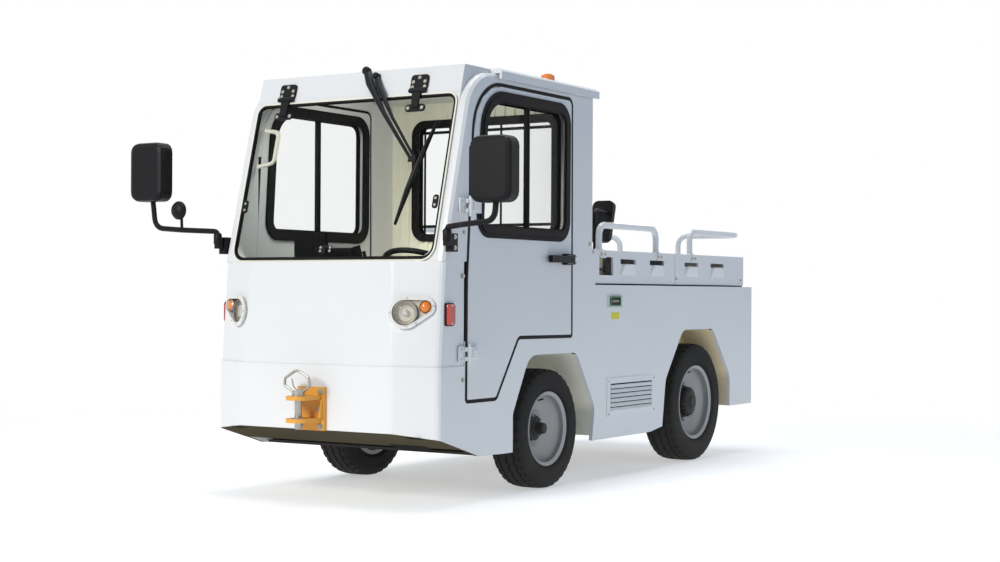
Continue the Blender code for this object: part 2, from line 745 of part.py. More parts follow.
def door(side, sign):
    """Door leaf with its window cut, two hinge knuckles and a pull handle."""
    pivot = (sign * DOOR_HINGE[0], DOOR_HINGE[1], 0.457)
    outer = HALF_WIDTH + 0.002
    joined = [prism(DOOR_LEAF, "X", outer - DOOR_THICKNESS, outer)]
    for level in (0.674, 1.332):
        joined.append(box((outer - 0.001, DOOR_HINGE[0] + 0.004),
                          (DOOR_HINGE[1] + 0.004, DOOR_HINGE[1] + 0.085),
                          (level - 0.030, level + 0.030)))
        joined.append(drum((DOOR_HINGE[0], DOOR_HINGE[1]), 0.009, "Z",
                           level - 0.030, level + 0.030, 12))
    joined.append(box((outer - 0.01, outer + 0.030), (1.150, 1.215), (1.092, 1.132)))
    joined.append(box((outer + 0.014, outer + 0.034), (1.000, 1.226), (1.098, 1.126)))
    cuts = [prism(DOOR_WINDOW, "X", 0.5, 0.8)]
    return node(f"door_{side}", "door_paint", [on_side(shape, sign) for shape in joined],
                [on_side(cut, sign) for cut in cuts], pivot)


def door_glass(side, sign):
    pivot = (sign * DOOR_HINGE[0], DOOR_HINGE[1], 0.457)
    pane = prism(offset(DOOR_WINDOW, -0.001), "X", 0.610, 0.610 + GLASS)
    return node(f"door_glass_{side}", "glass", [on_side(pane, sign)], pivot=pivot)


def dashboard():
    profile = [(0.150, 0.930), (0.165, 1.062), (0.300, 1.070), (0.372, 1.020), (0.350, 0.900),
               (0.200, 0.880)]
    joined = [prism(profile, "X", -0.535, 0.535),
              prism([(0.22, 1.06), (0.20, 1.150), (0.27, 1.165), (0.31, 1.06)],
                    "X", -0.155, 0.055)]
    return node("dashboard", "black_plastic", joined)


def column_axis():
    return (Vector(COLUMN_HEAD) - Vector(COLUMN_FOOT)).normalized()


def steering_column():
    head = Vector(COLUMN_HEAD) - column_axis() * 0.030
    joined = [tube([COLUMN_FOOT, head], 0.028, 12),
              box((0.21, 0.35), (0.13, 0.24), (FOOTWELL + GAP, 0.47))]
    return node("steering_column", "black_plastic", joined)


def steering_wheel():
    turn = Vector((0, 0, 1)).rotation_difference(column_axis()).to_matrix().to_4x4()
    rim_path = circle((0, 0), WHEEL_RIM_RADIUS, 20)
    around = 6
    shape = bmesh.new()
    rings = []
    for x, y in rim_path:
        outward = Vector((x, y, 0)).normalized()
        rings.append([shape.verts.new(Vector((x, y, 0))
                                      + outward * 0.013 * math.cos(2 * math.pi * k / around)
                                      + Vector((0, 0, 0.013 * math.sin(2 * math.pi * k / around))))
                      for k in range(around)])
    for step in range(len(rings)):
        low, high = rings[step - 1], rings[step]
        for index in range(around):
            shape.faces.new((low[index - 1], low[index], high[index], high[index - 1]))
    joined = [closed(shape), drum((0, 0), 0.045, "Z", -0.026, 0.016, 16)]
    for angle in (90, 210, 330):
        direction = Vector((math.cos(math.radians(angle)), math.sin(math.radians(angle)), 0))
        joined.append(tube([direction * 0.03, direction * WHEEL_RIM_RADIUS], 0.010, 6))
    seat = Matrix.Translation(Vector(COLUMN_HEAD)) @ turn
    return node("steering_wheel", "black_plastic", [moved(shape, seat) for shape in joined],
                pivot=COLUMN_HEAD)


def seat(name, across):
    """Seat pad and back rest on a low base."""
    half = 0.225
    profile = rounded([(0.820, 0.760, 0.02), (1.330, 0.745, 0.0), (1.395, 1.240, 0.04),
                       (1.300, 1.255, 0.03), (1.235, 0.885, 0.03), (0.820, 0.885, 0.04)])
    base = box((across - 0.19, across + 0.19), (0.88, 1.30), (PLATFORM + GAP, 0.78))
    return node(name, "seat_cover", [prism(profile, "X", across - half, across + half), base])


def mirror(side, sign):
    """Wing mirror: bracket on the pillar foot, bent arm and head."""
    lift = 0.0 if sign > 0 else 0.050
    arm = bent([(0.655, 0.095, 1.165, 0), (0.655, 0.095, 1.232, 0.02), (0.80, 0.010, 1.238, 0.05),
                (0.960, -0.005, 1.250, 0.05), (0.975, -0.012, 1.36 + lift, 0)])
    joined = [tube(arm, 0.013, 8),
              box((HALF_WIDTH + 0.0015, 0.667), (0.118, 0.162), (1.125, 1.205)),
              box((0.640, 0.668), (0.085, 0.130), (1.150, 1.190))]
    head = rounded([(0.868, 1.325 + lift, 0.045), (1.072, 1.325 + lift, 0.045),
                    (1.072, 1.605 + lift, 0.045), (0.868, 1.605 + lift, 0.045)])
    joined.append(soften(prism(head, "Y", -0.070, 0.010), 0.02, 2, lambda p: p.y < -0.069))
    return node(f"mirror_{side}", "black_plastic", [on_side(shape, sign) for shape in joined])


def beacon():
    joined = [drum((0.440, 1.318), 0.045, "Z", 1.970, 2.000, 20),
              drum((0.440, 1.318), 0.038, "Z", 1.999, 2.050, 20)]
    return node("beacon", "beacon_orange", joined, [box((0.3, 0.6), (1.1, 1.5), (1.9, 1.9785))])


def wiper():
    """Pantograph arms from the header to a blade on the pane."""
    def on_screen(across, level, shift):
        return (across, screen_at(level, shift), level)

    joined = [tube([(0.045, 0.318, 1.985), on_screen(0.395, 1.545, -0.045)], 0.009, 6),
              tube([(0.105, 0.316, 1.955), on_screen(0.415, 1.540, -0.045)], 0.008, 6),
              tube([on_screen(0.490, 1.710, -0.026), on_screen(0.345, 1.250, -0.026)], 0.008, 6),
              tube([on_screen(0.405, 1.545, -0.050), on_screen(0.420, 1.500, -0.024)], 0.012, 6),
              box((0.025, 0.125), (0.302, 0.338), (1.940, 1.995))]
    cuts = [prism([(0.3037, 1.848), (0.3397, 1.9743), (0.40, 1.9743), (0.40, 1.80)],
                  "X", -0.1, 0.3)]
    return node("wiper", "black_plastic", joined, cuts)


# ---------------------------------------------------------------- deck

def cover(name, low, high, openings, rail, sockets=()):
    """Sheet-metal hood, open underneath, with openings and a rail on each side, and round
    sockets on its top."""
    pivot = (COVER_HINGE[0], (low + high) / 2, COVER_HINGE[1])
    reach, sheet = COVER_HALF_WIDTH, 0.012
    outer = box((-reach, reach), (low, high), (COVER_BASE, COVER_TOP))
    cuts = [box((-reach + sheet, reach - sheet), (low + sheet, high - sheet),
                (COVER_BASE - 0.1, COVER_TOP - sheet))]
    for start, end, foot, head in openings:
        cuts.append(box((-0.8, 0.8), (start, end), (foot, head)))
    joined = [outer] + [on_side(tube(bent(rail), RAIL_RADIUS, 8), sign) for _, sign in SIDES]
    for centre in sockets:
        joined.append(drum(centre, 0.015, "Z", COVER_TOP - 0.005, COVER_TOP + MIRROR_SOCKET, 16))
    return node(name, "body_paint", joined, cuts, pivot)


def rear_mirror():
    """Mirror on a bent tube, standing in its socket at the front left corner of the deck."""
    pivot = (COVER_HINGE[0], (COVER_FRONT + COVER_SPLIT) / 2, COVER_HINGE[1])
    top = COVER_TOP + MIRROR_SOCKET + GAP
    along = 1.800
    joined = [tube(bent([(*MIRROR_FOOT, top, 0), (*MIRROR_FOOT, 1.380, 0.03),
                         (0.520, along + 0.03, 1.370, 0)]), 0.009, 8)]
    head = rounded([(0.425, 1.215, 0.03), (0.550, 1.215, 0.03), (0.550, 1.440, 0.03),
                    (0.425, 1.440, 0.03)])
    lean = Matrix.Translation((0, along, 1.33)) @ Matrix.Rotation(math.radians(-15), 4, "X") \
        @ Matrix.Translation((0, -along, -1.33))
    joined.append(moved(prism(head, "Y", along, along + 0.028), lean))
    return node("deck_mirror", "black_plastic", joined, pivot=pivot)


# ---------------------------------------------------------------- hitches

def hitch(name, face, sign, low):
    """Drawbar clevis: back plate with two ears and a web on each side of the slot."""
    reach = face + sign * 0.158
    joined = [box((-0.075, 0.075), sorted((face, face + sign * 0.020)), (low, low + 0.195))]
    ear = rounded([(-0.060, face + sign * 0.015, 0), (0.060, face + sign * 0.015, 0),
                   (0.055, reach, 0.050), (-0.055, reach, 0.050)])
    for level in (low + 0.040, low + 0.140):
        joined.append(prism(ear, "Z", level, level + 0.018))
    pin = (0.0, reach - sign * 0.050)
    cuts = [drum(pin, 0.0185, "Z", low, low + 0.2, 16)]
    return node(name, "hitch_yellow", joined, cuts)


def hitch_pin(name, face, sign, low):
    """Drop-in pin with a collar under its lifting ring."""
    pin = (0.0, face + sign * 0.108)
    joined = [drum(pin, 0.016, "Z", low + 0.015, low + 0.190, 16),
              drum(pin, 0.027, "Z", low + 0.1583, low + 0.180, 16)]
    ring = [(pin[0] + 0.038 * math.cos(math.radians(a)), pin[1],
             low + 0.205 + 0.038 * math.sin(math.radians(a))) for a in range(-60, 241, 50)]
    joined.append(tube(ring, 0.005, 6))
    return node(name, "steel", joined)


# ---------------------------------------------------------------- assembly

# Openings through a cover's sides: start and end along the vehicle, foot and head.
FRONT_OPENINGS = [(1.544, 1.695, 1.040, 1.134), (1.775, 1.945, 1.100, 1.126),
                  (2.112, 2.284, 1.100, 1.126)]
REAR_OPENINGS = [(2.540, 2.716, 1.098, 1.122), (2.885, 3.065, 1.098, 1.122)]


def build_deck():
    foot, head = COVER_TOP - 0.008, COVER_TOP + RAIL_HEIGHT
    hoop = [(0.595, 1.580, foot, 0), (0.595, 1.580, head, 0.055), (0.595, 2.224, head, 0.055),
            (0.595, 2.224, foot, 0)]
    corner = [(0.595, 2.650, foot, 0), (0.595, 2.650, head, 0.055), (0.595, 3.315, head, 0.055),
              (0.200, 3.315, head, 0.055), (0.200, 3.315, foot, 0)]
    cover("deck_cover_front", COVER_FRONT, COVER_SPLIT - SEAM / 2, FRONT_OPENINGS, hoop,
          [MIRROR_FOOT])
    cover("deck_cover_rear", COVER_SPLIT + SEAM / 2, COVER_REAR, REAR_OPENINGS, corner)
    rear_mirror()


def build_running_gear():
    chassis()
    front_axle()
    rear_axle()
    drive_motor()
    battery()
    for side, sign in SIDES:
        knuckle(side, sign)
        for end in WHEELS:
            tyre(end, side, sign)
            rim(end, side, sign)


def build_body():
    front_apron()
    front_panel()
    tail_panel()
    deck_frame()
    cab_floor()
    for side, sign in SIDES:
        body_side(side, sign)
        headlight(side, sign)


def build_cab():
    screen_frame()
    windscreen()
    header_panel()
    roof()
    rear_wall()
    rear_glass()
    window_guard()
    dashboard()
    steering_column()
    steering_wheel()
    seat("driver_seat", 0.28)
    beacon()
    wiper()
    for side, sign in SIDES:
        side_frame(side, sign)
        door(side, sign)
        door_glass(side, sign)
        mirror(side, sign)


def build_hitches():
    hitch("front_hitch", -0.0003, -1, 0.326)
    hitch_pin("front_hitch_pin", -0.0003, -1, 0.326)
    hitch("rear_hitch", TAIL + 0.0003, 1, 0.326)
    hitch_pin("rear_hitch_pin", TAIL + 0.0003, 1, 0.326)


clear_scene()
build_running_gear()
build_body()
build_cab()
build_deck()
build_hitches()
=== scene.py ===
import json
import math

import bmesh
import bpy
from mathutils import Matrix, Vector


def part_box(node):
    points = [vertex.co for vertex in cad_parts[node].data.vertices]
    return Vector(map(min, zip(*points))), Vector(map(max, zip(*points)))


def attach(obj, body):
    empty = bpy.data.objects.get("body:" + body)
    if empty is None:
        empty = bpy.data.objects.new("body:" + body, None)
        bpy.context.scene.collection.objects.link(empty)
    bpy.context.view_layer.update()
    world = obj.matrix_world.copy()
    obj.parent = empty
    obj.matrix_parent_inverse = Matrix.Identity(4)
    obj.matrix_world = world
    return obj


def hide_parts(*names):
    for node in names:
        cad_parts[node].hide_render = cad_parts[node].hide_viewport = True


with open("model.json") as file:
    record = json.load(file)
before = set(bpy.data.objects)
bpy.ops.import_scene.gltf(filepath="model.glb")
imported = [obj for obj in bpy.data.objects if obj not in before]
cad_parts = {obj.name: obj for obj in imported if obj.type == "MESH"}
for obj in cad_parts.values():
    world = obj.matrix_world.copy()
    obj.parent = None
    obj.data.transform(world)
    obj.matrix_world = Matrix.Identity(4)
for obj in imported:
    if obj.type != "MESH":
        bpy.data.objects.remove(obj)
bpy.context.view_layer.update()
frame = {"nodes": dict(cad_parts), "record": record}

# ---------------------------------------------------------------- places read from the frame

SIDES = (("left", 1), ("right", -1))
LENGTH = 3.446
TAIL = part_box("tail_panel")[1][1]
FRONT = TAIL - LENGTH
HALF_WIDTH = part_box("body_side_left")[1][0]
FRONT_LEAN = 0.080


def at(distance):
    """Row coordinate of a distance behind the foot of the front panel."""
    return FRONT + distance


def screen_at(level, shift=0.0):
    """Distance of the windscreen plane behind the front at a height."""
    return 0.117 + (level - 1.094) * 0.257 + shift


# ---------------------------------------------------------------- outlines

def rounded(corners, steps=6):
    """Outline through corners (a, b, fillet radius), each fillet an arc of steps."""
    outline = []
    count = len(corners)
    for index, (a, b, radius) in enumerate(corners):
        here = Vector((a, b))
        if radius <= 0:
            outline.append((a, b))
            continue
        before = (Vector(corners[index - 1][:2]) - here).normalized()
        after = (Vector(corners[(index + 1) % count][:2]) - here).normalized()
        half = before.angle(after) / 2
        reach = radius / math.tan(half)
        centre = here + (before + after).normalized() * (radius / math.sin(half))
        start = here + before * reach - centre
        sweep = (here + after * reach - centre).angle_signed(start)
        for step in range(steps + 1):
            turned = Matrix.Rotation(sweep * step / steps, 2) @ start
            outline.append(tuple(centre + turned))
    return outline


def plate(a, b, radius, steps=6):
    """Rectangle from a[0], b[0] to a[1], b[1] with rounded corners."""
    return rounded([(a[0], b[0], radius), (a[1], b[0], radius), (a[1], b[1], radius),
                    (a[0], b[1], radius)], steps)


def offset(outline, distance):
    """Outline moved outward by distance, or inward when it is negative."""
    area = sum(a[0] * b[1] - b[0] * a[1] for a, b in zip(outline, outline[1:] + outline[:1]))
    side = 1 if area > 0 else -1
    moved = []
    count = len(outline)
    for index in range(count):
        here = Vector(outline[index])
        entering = (here - Vector(outline[index - 1])).normalized()
        leaving = (Vector(outline[(index + 1) % count]) - here).normalized()
        normals = [Vector((run.y, -run.x)) * side for run in (entering, leaving)]
        middle = (normals[0] + normals[1]).normalized()
        moved.append(tuple(here + middle * (distance / middle.dot(normals[0]))))
    return moved


def keyhole(big, small, spacing, rise, steps=20):
    """Outline round two circles: the big one at the origin, the small one at (spacing, rise)."""
    span = math.hypot(spacing, rise)
    tilt = math.atan2(rise, spacing)
    lean = math.acos((big - small) / span)
    outline = []
    for radius, centre, start, sweep in (
        (big, (0, 0), tilt + lean, 2 * math.pi - 2 * lean),
        (small, (spacing, rise), tilt - lean, 2 * lean),
    ):
        for step in range(steps + 1):
            angle = start + sweep * step / steps
            outline.append((centre[0] + radius * math.cos(angle),
                            centre[1] + radius * math.sin(angle)))
    return outline


# ---------------------------------------------------------------- shapes as (points, faces)

PLACES = {"X": (1, 2, 0), "Y": (0, 2, 1), "Z": (0, 1, 2)}


def lifted(outline, axis, level):
    first, second, depth = PLACES[axis]
    points = []
    for a, b in outline:
        point = [0.0, 0.0, 0.0]
        point[first], point[second], point[depth] = a, b, level
        points.append(tuple(point))
    return points


def stack(sections, caps=True):
    """Skin through rings of equal length."""
    count = len(sections[0])
    points = [tuple(point) for section in sections for point in section]
    faces = []
    for ring in range(len(sections) - 1):
        for k in range(count):
            a, b = ring * count + k, ring * count + (k + 1) % count
            faces.append((a, b, b + count, a + count))
    if caps:
        faces.append(tuple(reversed(range(count))))
        faces.append(tuple(range(len(points) - count, len(points))))
    return points, faces


def prism(outline, axis, low, high):
    return stack([lifted(outline, axis, low), lifted(outline, axis, high)])


def band(outer, inner, axis, low, high):
    """Flat ring between two outlines with as many points each."""
    count = len(outer)
    rings = [lifted(outer, axis, low), lifted(outer, axis, high),
             lifted(inner, axis, high), lifted(inner, axis, low)]
    points = [point for ring in rings for point in ring]
    faces = []
    for ring in range(4):
        following = (ring + 1) % 4
        for k in range(count):
            nxt = (k + 1) % count
            faces.append((ring * count + k, ring * count + nxt,
                          following * count + nxt, following * count + k))
    return points, faces


def box(x, y, z):
    return prism([(x[0], y[0]), (x[1], y[0]), (x[1], y[1]), (x[0], y[1])], "Z", *z)


def lathe(profile, centre, axis="X", sides=48, closed=False):
    """Surface turned about axis from (radius, place along the axis) pairs."""
    first, second, depth = PLACES[axis]
    sections = []
    for step in range(sides):
        angle = 2 * math.pi * step / sides
        section = []
        for radius, along in profile:
            point = list(centre)
            point[first] += radius * math.cos(angle)
            point[second] += radius * math.sin(angle)
            point[depth] += along
            section.append(tuple(point))
        sections.append(section)
    count = len(profile)
    points = [point for section in sections for point in section]
    faces = []
    last = count if closed else count - 1
    for step in range(sides):
        following = (step + 1) % sides
        for k in range(last):
            nxt = (k + 1) % count
            faces.append((step * count + k, step * count + nxt,
                          following * count + nxt, following * count + k))
    return points, faces


def tube(path, radius, sides=14, ends=True):
    """Round bar along a path; radius is a number or one number for each point."""
    points = [Vector(point) for point in path]
    radii = radius if isinstance(radius, (list, tuple)) else [radius] * len(points)
    sections = []
    normal = None
    for index, point in enumerate(points):
        before = point - points[index - 1] if index else points[1] - point
        after = points[index + 1] - point if index + 1 < len(points) else before
        along = (before.normalized() + after.normalized()).normalized()
        if normal is None:
            normal = along.orthogonal().normalized()
        normal = (normal - along * normal.dot(along)).normalized()
        other = along.cross(normal)
        sections.append([tuple(point + (normal * math.cos(2 * math.pi * k / sides)
                                        + other * math.sin(2 * math.pi * k / sides))
                               * radii[index]) for k in range(sides)])
    return stack(sections, ends)


def bent(corners, steps=8):
    """Path through corners (x, y, z, bend radius)."""
    path = []
    for index, corner in enumerate(corners):
        here = Vector(corner[:3])
        radius = corner[3]
        if radius <= 0:
            path.append(here)
            continue
        before = (Vector(corners[index - 1][:3]) - here).normalized()
        after = (Vector(corners[index + 1][:3]) - here).normalized()
        half = before.angle(after) / 2
        reach = radius / math.tan(half)
        start, end = here + before * reach, here + after * reach
        centre = here + (before + after).normalized() * (radius / math.sin(half))
        first, last = (start - centre).normalized(), (end - centre).normalized()
        for step in range(steps + 1):
            path.append(centre + first.slerp(last, step / steps) * radius)
    return path


def shifted(shape, matrix):
    points, faces = shape
    moved = [tuple(matrix @ Vector(point)) for point in points]
    return moved, ([tuple(reversed(face)) for face in faces]
                   if matrix.determinant() < 0 else faces)


def flipped(shape, sign):
    """The shape as given for the left side, or its mirror image for the right."""
    return shape if sign > 0 else shifted(shape, Matrix.Scale(-1, 4, (1, 0, 0)))


def facing(centre, normal):
    """Matrix taking the origin to centre and +Z to normal."""
    turn = Vector((0, 0, 1)).rotation_difference(Vector(normal)).to_matrix().to_4x4()
    return Matrix.Translation(Vector(centre)) @ turn


def bolt(centre, normal, radius=0.008):
    """Hexagon head on a washer, standing on a surface."""
    washer = lathe([(0.0001, 0.0022), (radius * 1.45, 0.0022), (radius * 1.55, 0.0015),
                    (radius * 1.55, -0.001)], (0, 0, 0), "Z", 20)
    head = lathe([(0.0001, radius * 0.85), (radius * 0.86, radius * 0.85), (radius, radius * 0.68),
                  (radius, 0.001)], (0, 0, 0), "Z", 6)
    place = facing(centre, normal)
    return [shifted(washer, place), shifted(head, place)]


def screw(centre, normal, radius=0.006):
    """Domed screw head."""
    dome = lathe([(0.0001, radius * 0.55), (radius * 0.5, radius * 0.5),
                  (radius * 0.85, radius * 0.3), (radius, 0.0), (radius, -0.001)],
                 (0, 0, 0), "Z", 14)
    return [shifted(dome, facing(centre, normal))]


SHARP_ANGLE = 35


def joined(shapes):
    points, faces = [], []
    for shape_points, shape_faces in shapes:
        start = len(points)
        points.extend(shape_points)
        faces.extend(tuple(start + k for k in face) for face in shape_faces)
    return points, faces


def object_of(name, shape, material):
    """Mesh object of one shape, its faces turned outward."""
    points, faces = shape
    mesh = bpy.data.meshes.new(name)
    mesh.from_pydata(points, [], faces)
    editing = bmesh.new()
    editing.from_mesh(mesh)
    bmesh.ops.recalc_face_normals(editing, faces=editing.faces)
    editing.to_mesh(mesh)
    editing.free()
    mesh.materials.append(material)
    thing = bpy.data.objects.new(name, mesh)
    bpy.context.scene.collection.objects.link(thing)
    return thing


def piece(name, shapes, body, material, bevel=0.0, replaces=(), sign=1):
    """One smooth object from shapes, riding on a body; sign -1 makes it for the right side."""
    thing = object_of(name, joined([flipped(shape, sign) for shape in shapes]), material)
    if bevel:
        change = thing.modifiers.new("edge", "BEVEL")
        change.width = bevel
        change.segments = 2
        change.limit_method = "ANGLE"
        change.angle_limit = math.radians(30)
    thing.data.shade_smooth()
    thing.data.set_sharp_from_angle(angle=math.radians(SHARP_ANGLE))
    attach(thing, body)
    if replaces:
        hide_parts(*replaces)
    return thing


# ---------------------------------------------------------------- materials

def start_material(name):
    material = bpy.data.materials.new(name)
    material.use_nodes = True
    tree = material.node_tree
    return material, tree, tree.nodes["Principled BSDF"]


def noise(tree, scale, detail=4.0, stretch=(1, 1, 1)):
    place = tree.nodes.new("ShaderNodeTexCoord")
    mapping = tree.nodes.new("ShaderNodeMapping")
    mapping.inputs["Scale"].default_value = stretch
    texture = tree.nodes.new("ShaderNodeTexNoise")
    texture.inputs["Scale"].default_value = scale
    texture.inputs["Detail"].default_value = detail
    tree.links.new(place.outputs["Object"], mapping.inputs["Vector"])
    tree.links.new(mapping.outputs["Vector"], texture.inputs["Vector"])
    return texture.outputs["Fac"]


def ramp(tree, value, low, high, start, end):
    """Value mapped from low..high to start..end."""
    node = tree.nodes.new("ShaderNodeMapRange")
    node.inputs["From Min"].default_value = low
    node.inputs["From Max"].default_value = high
    node.inputs["To Min"].default_value = start
    node.inputs["To Max"].default_value = end
    tree.links.new(value, node.inputs["Value"])
    return node.outputs["Result"]


def mixed(tree, factor, first, second):
    """Colour between first and second; each is a colour or a socket."""
    node = tree.nodes.new("ShaderNodeMix")
    node.data_type = "RGBA"
    tree.links.new(factor, node.inputs["Factor"])
    colour_inputs = [socket for socket in node.inputs if socket.type == "RGBA"]
    for socket, value in zip(colour_inputs, (first, second)):
        if isinstance(value, tuple):
            socket.default_value = (*value, 1)
        else:
            tree.links.new(value, socket)
    return [socket for socket in node.outputs if socket.type == "RGBA"][0]


def product(tree, first, second):
    node = tree.nodes.new("ShaderNodeMath")
    node.operation = "MULTIPLY"
    tree.links.new(first, node.inputs[0])
    tree.links.new(second, node.inputs[1])
    return node.outputs[0]


def height(tree):
    place = tree.nodes.new("ShaderNodeTexCoord")
    split = tree.nodes.new("ShaderNodeSeparateXYZ")
    tree.links.new(place.outputs["Object"], split.inputs[0])
    return split.outputs["Z"]


def bumped(tree, shader, value, strength, distance):
    node = tree.nodes.new("ShaderNodeBump")
    node.inputs["Strength"].default_value = strength
    node.inputs["Distance"].default_value = distance
    tree.links.new(value, node.inputs["Height"])
    tree.links.new(node.outputs["Normal"], shader.inputs["Normal"])


def shade(colour, factor):
    return tuple(min(1.0, c * factor) for c in colour)


def finish(name, colour, roughness, metallic=0.0, coat=0.0, vary=0.06, grain=60.0, bump=0.05,
           distance=0.001, stretch=(1, 1, 1), dust=0.0, dust_top=0.6, specular=0.5,
           dust_colour=(0.42, 0.39, 0.34)):
    """Painted, moulded or metal surface with patchy colour, uneven gloss, fine grain and dust."""
    material, tree, shader = start_material(name)
    patches = noise(tree, 1.6, 3.0, stretch)
    fine = noise(tree, grain, 3.0, stretch)
    colour_out = mixed(tree, ramp(tree, patches, 0.25, 0.75, 0, 1), shade(colour, 1 - vary),
                       shade(colour, 1 + vary / 2))
    if dust:
        low = ramp(tree, height(tree), 0.15, dust_top, dust, 0.0)
        speck = ramp(tree, noise(tree, 4.0, 8.0), 0.25, 0.75, 0.35, 1.0)
        colour_out = mixed(tree, product(tree, low, speck), colour_out, dust_colour)
    tree.links.new(colour_out, shader.inputs["Base Color"])
    tree.links.new(ramp(tree, patches, 0.3, 0.7, roughness * 0.9, min(1, roughness * 1.12)),
                   shader.inputs["Roughness"])
    shader.inputs["Metallic"].default_value = metallic
    shader.inputs["Specular IOR Level"].default_value = specular
    shader.inputs["Coat Weight"].default_value = coat
    shader.inputs["Coat Roughness"].default_value = 0.08
    bumped(tree, shader, fine, bump, distance)
    return material


def glass(name, colour, reflecting, roughness=0.02):
    """Thin tinted pane: clear where it faces the eye, glossy at a glancing angle."""
    material, tree, shader = start_material(name)
    shader.inputs["Roughness"].default_value = roughness
    tint = mixed(tree, noise(tree, 3.0, 2.0), shade(colour, 0.035), shade(colour, 0.05))
    tree.links.new(tint, shader.inputs["Base Color"])
    clear = tree.nodes.new("ShaderNodeBsdfTransparent")
    tree.links.new(mixed(tree, noise(tree, 3.0, 2.0), shade(colour, 0.99), colour),
                   clear.inputs["Color"])
    blend = tree.nodes.new("ShaderNodeMixShader")
    edge = tree.nodes.new("ShaderNodeLayerWeight")
    edge.inputs["Blend"].default_value = 0.12
    weight = ramp(tree, edge.outputs["Fresnel"], 0.0, 1.0, reflecting, 1.0)
    tree.links.new(weight, blend.inputs[0])
    tree.links.new(clear.outputs[0], blend.inputs[1])
    tree.links.new(shader.outputs[0], blend.inputs[2])
    tree.links.new(blend.outputs[0], tree.nodes["Material Output"].inputs["Surface"])
    return material


WHITE = (0.80, 0.81, 0.82)
BODY = finish("white_paint", WHITE, 0.34, coat=0.25, vary=0.02, grain=220, bump=0.02,
              dust=0.10, dust_top=0.50, specular=0.4)
DOOR_PAINT = finish("door_paint", (0.77, 0.785, 0.80), 0.36, coat=0.25, vary=0.02, grain=220,
                    bump=0.02, dust=0.10, dust_top=0.60, specular=0.4)
CREAM = finish("cream_paint", (0.94, 0.80, 0.52), 0.55, vary=0.08, grain=140, bump=0.06,
               dust=0.18, dust_top=0.6)
TRIM = finish("cab_lining", (0.86, 0.85, 0.72), 0.50, vary=0.05, grain=160, bump=0.06)
CHASSIS = finish("chassis_black", (0.014, 0.014, 0.015), 0.55, vary=0.3, grain=90, bump=0.12,
                 dust=0.22, dust_top=0.5, specular=0.25, dust_colour=(0.20, 0.18, 0.15))
PLASTIC = finish("black_plastic", (0.009, 0.0095, 0.011), 0.42, vary=0.2, grain=500, bump=0.10,
                 distance=0.0005, specular=0.14)
RUBBER = finish("black_rubber", (0.006, 0.006, 0.007), 0.62, vary=0.2, grain=240, bump=0.10,
                distance=0.0006, specular=0.15)
TYRE = finish("tyre_rubber", (0.012, 0.012, 0.0125), 0.75, vary=0.3, grain=180, bump=0.20,
              distance=0.0008, dust=0.14, dust_top=0.7, specular=0.2,
              dust_colour=(0.16, 0.14, 0.12))
RIM = finish("rim_paint", (0.34, 0.35, 0.36), 0.42, metallic=0.45, vary=0.10, grain=160,
             bump=0.06, dust=0.35, dust_top=0.8, dust_colour=(0.20, 0.18, 0.15))
STEEL = finish("zinc_steel", (0.40, 0.39, 0.36), 0.36, metallic=1.0, vary=0.10, grain=180,
               bump=0.08, stretch=(1, 1, 6))
YELLOW = finish("hitch_paint", (0.78, 0.36, 0.03), 0.42, vary=0.12, grain=110, bump=0.10,
                dust=0.15, dust_top=0.8)
VINYL = finish("seat_vinyl", (0.014, 0.0145, 0.016), 0.50, vary=0.2, grain=420, bump=0.30,
               distance=0.0008, specular=0.3)
BATTERY = finish("battery_case", (0.05, 0.06, 0.06), 0.6, vary=0.2, grain=80, bump=0.1)
BEZEL = finish("lamp_bezel", (0.80, 0.79, 0.77), 0.28, coat=0.4, vary=0.02, grain=200,
               bump=0.02)
REFLECTOR = finish("lamp_bowl", (0.72, 0.68, 0.60), 0.20, metallic=0.6, vary=0.05, grain=60,
                   bump=0.03)
MIRROR = finish("mirror_silver", (0.82, 0.83, 0.85), 0.03, metallic=1.0, vary=0.02, grain=30,
                bump=0.002)
# Black for the dash screen, and painted shade for the nose openings and the inside of the vents.
SLOT_SHADE_AND_SCREEN = finish("slot_shade_and_screen_black", (0.010, 0.010, 0.011), 0.8, vary=0.2, grain=80, bump=0.05,
              specular=0.05)
PLATE = finish("blank_plate", (0.70, 0.70, 0.66), 0.45, vary=0.04, grain=120, bump=0.04)
# Painted shade: a matte dark brown finish for the faces that look down, standing in for the shade
# beneath the body.
UNDERSIDE_SHADE = finish("painted_underside_shade", (0.085, 0.075, 0.050), 0.95, vary=0.15, grain=160, bump=0.2,
                   distance=0.001, specular=0.0)
GLASS = glass("tinted_glass", (0.991, 0.998, 0.995), 0.008)
CLEAR = glass("lamp_glass", (0.97, 0.975, 0.975), 0.06)


def lens(name, colour):
    """Ribbed coloured lens."""
    material, tree, shader = start_material(name)
    place = tree.nodes.new("ShaderNodeTexCoord")
    wave = tree.nodes.new("ShaderNodeTexWave")
    wave.bands_direction = "Z"
    wave.inputs["Scale"].default_value = 60
    tree.links.new(place.outputs["Object"], wave.inputs["Vector"])
    tree.links.new(mixed(tree, wave.outputs["Fac"], shade(colour, 0.80), shade(colour, 1.10)),
                   shader.inputs["Base Color"])
    shader.inputs["Roughness"].default_value = 0.15
    shader.inputs["Coat Weight"].default_value = 0.6
    bumped(tree, shader, wave.outputs["Fac"], 0.15, 0.001)
    return material


ORANGE = lens("orange_lens", (0.82, 0.22, 0.012))
RED = lens("red_lens", (0.60, 0.035, 0.02))
GREEN = finish("socket_green", (0.02, 0.18, 0.09), 0.4, vary=0.08)
LABEL = finish("yellow_label", (0.80, 0.72, 0.05), 0.5, vary=0.05)

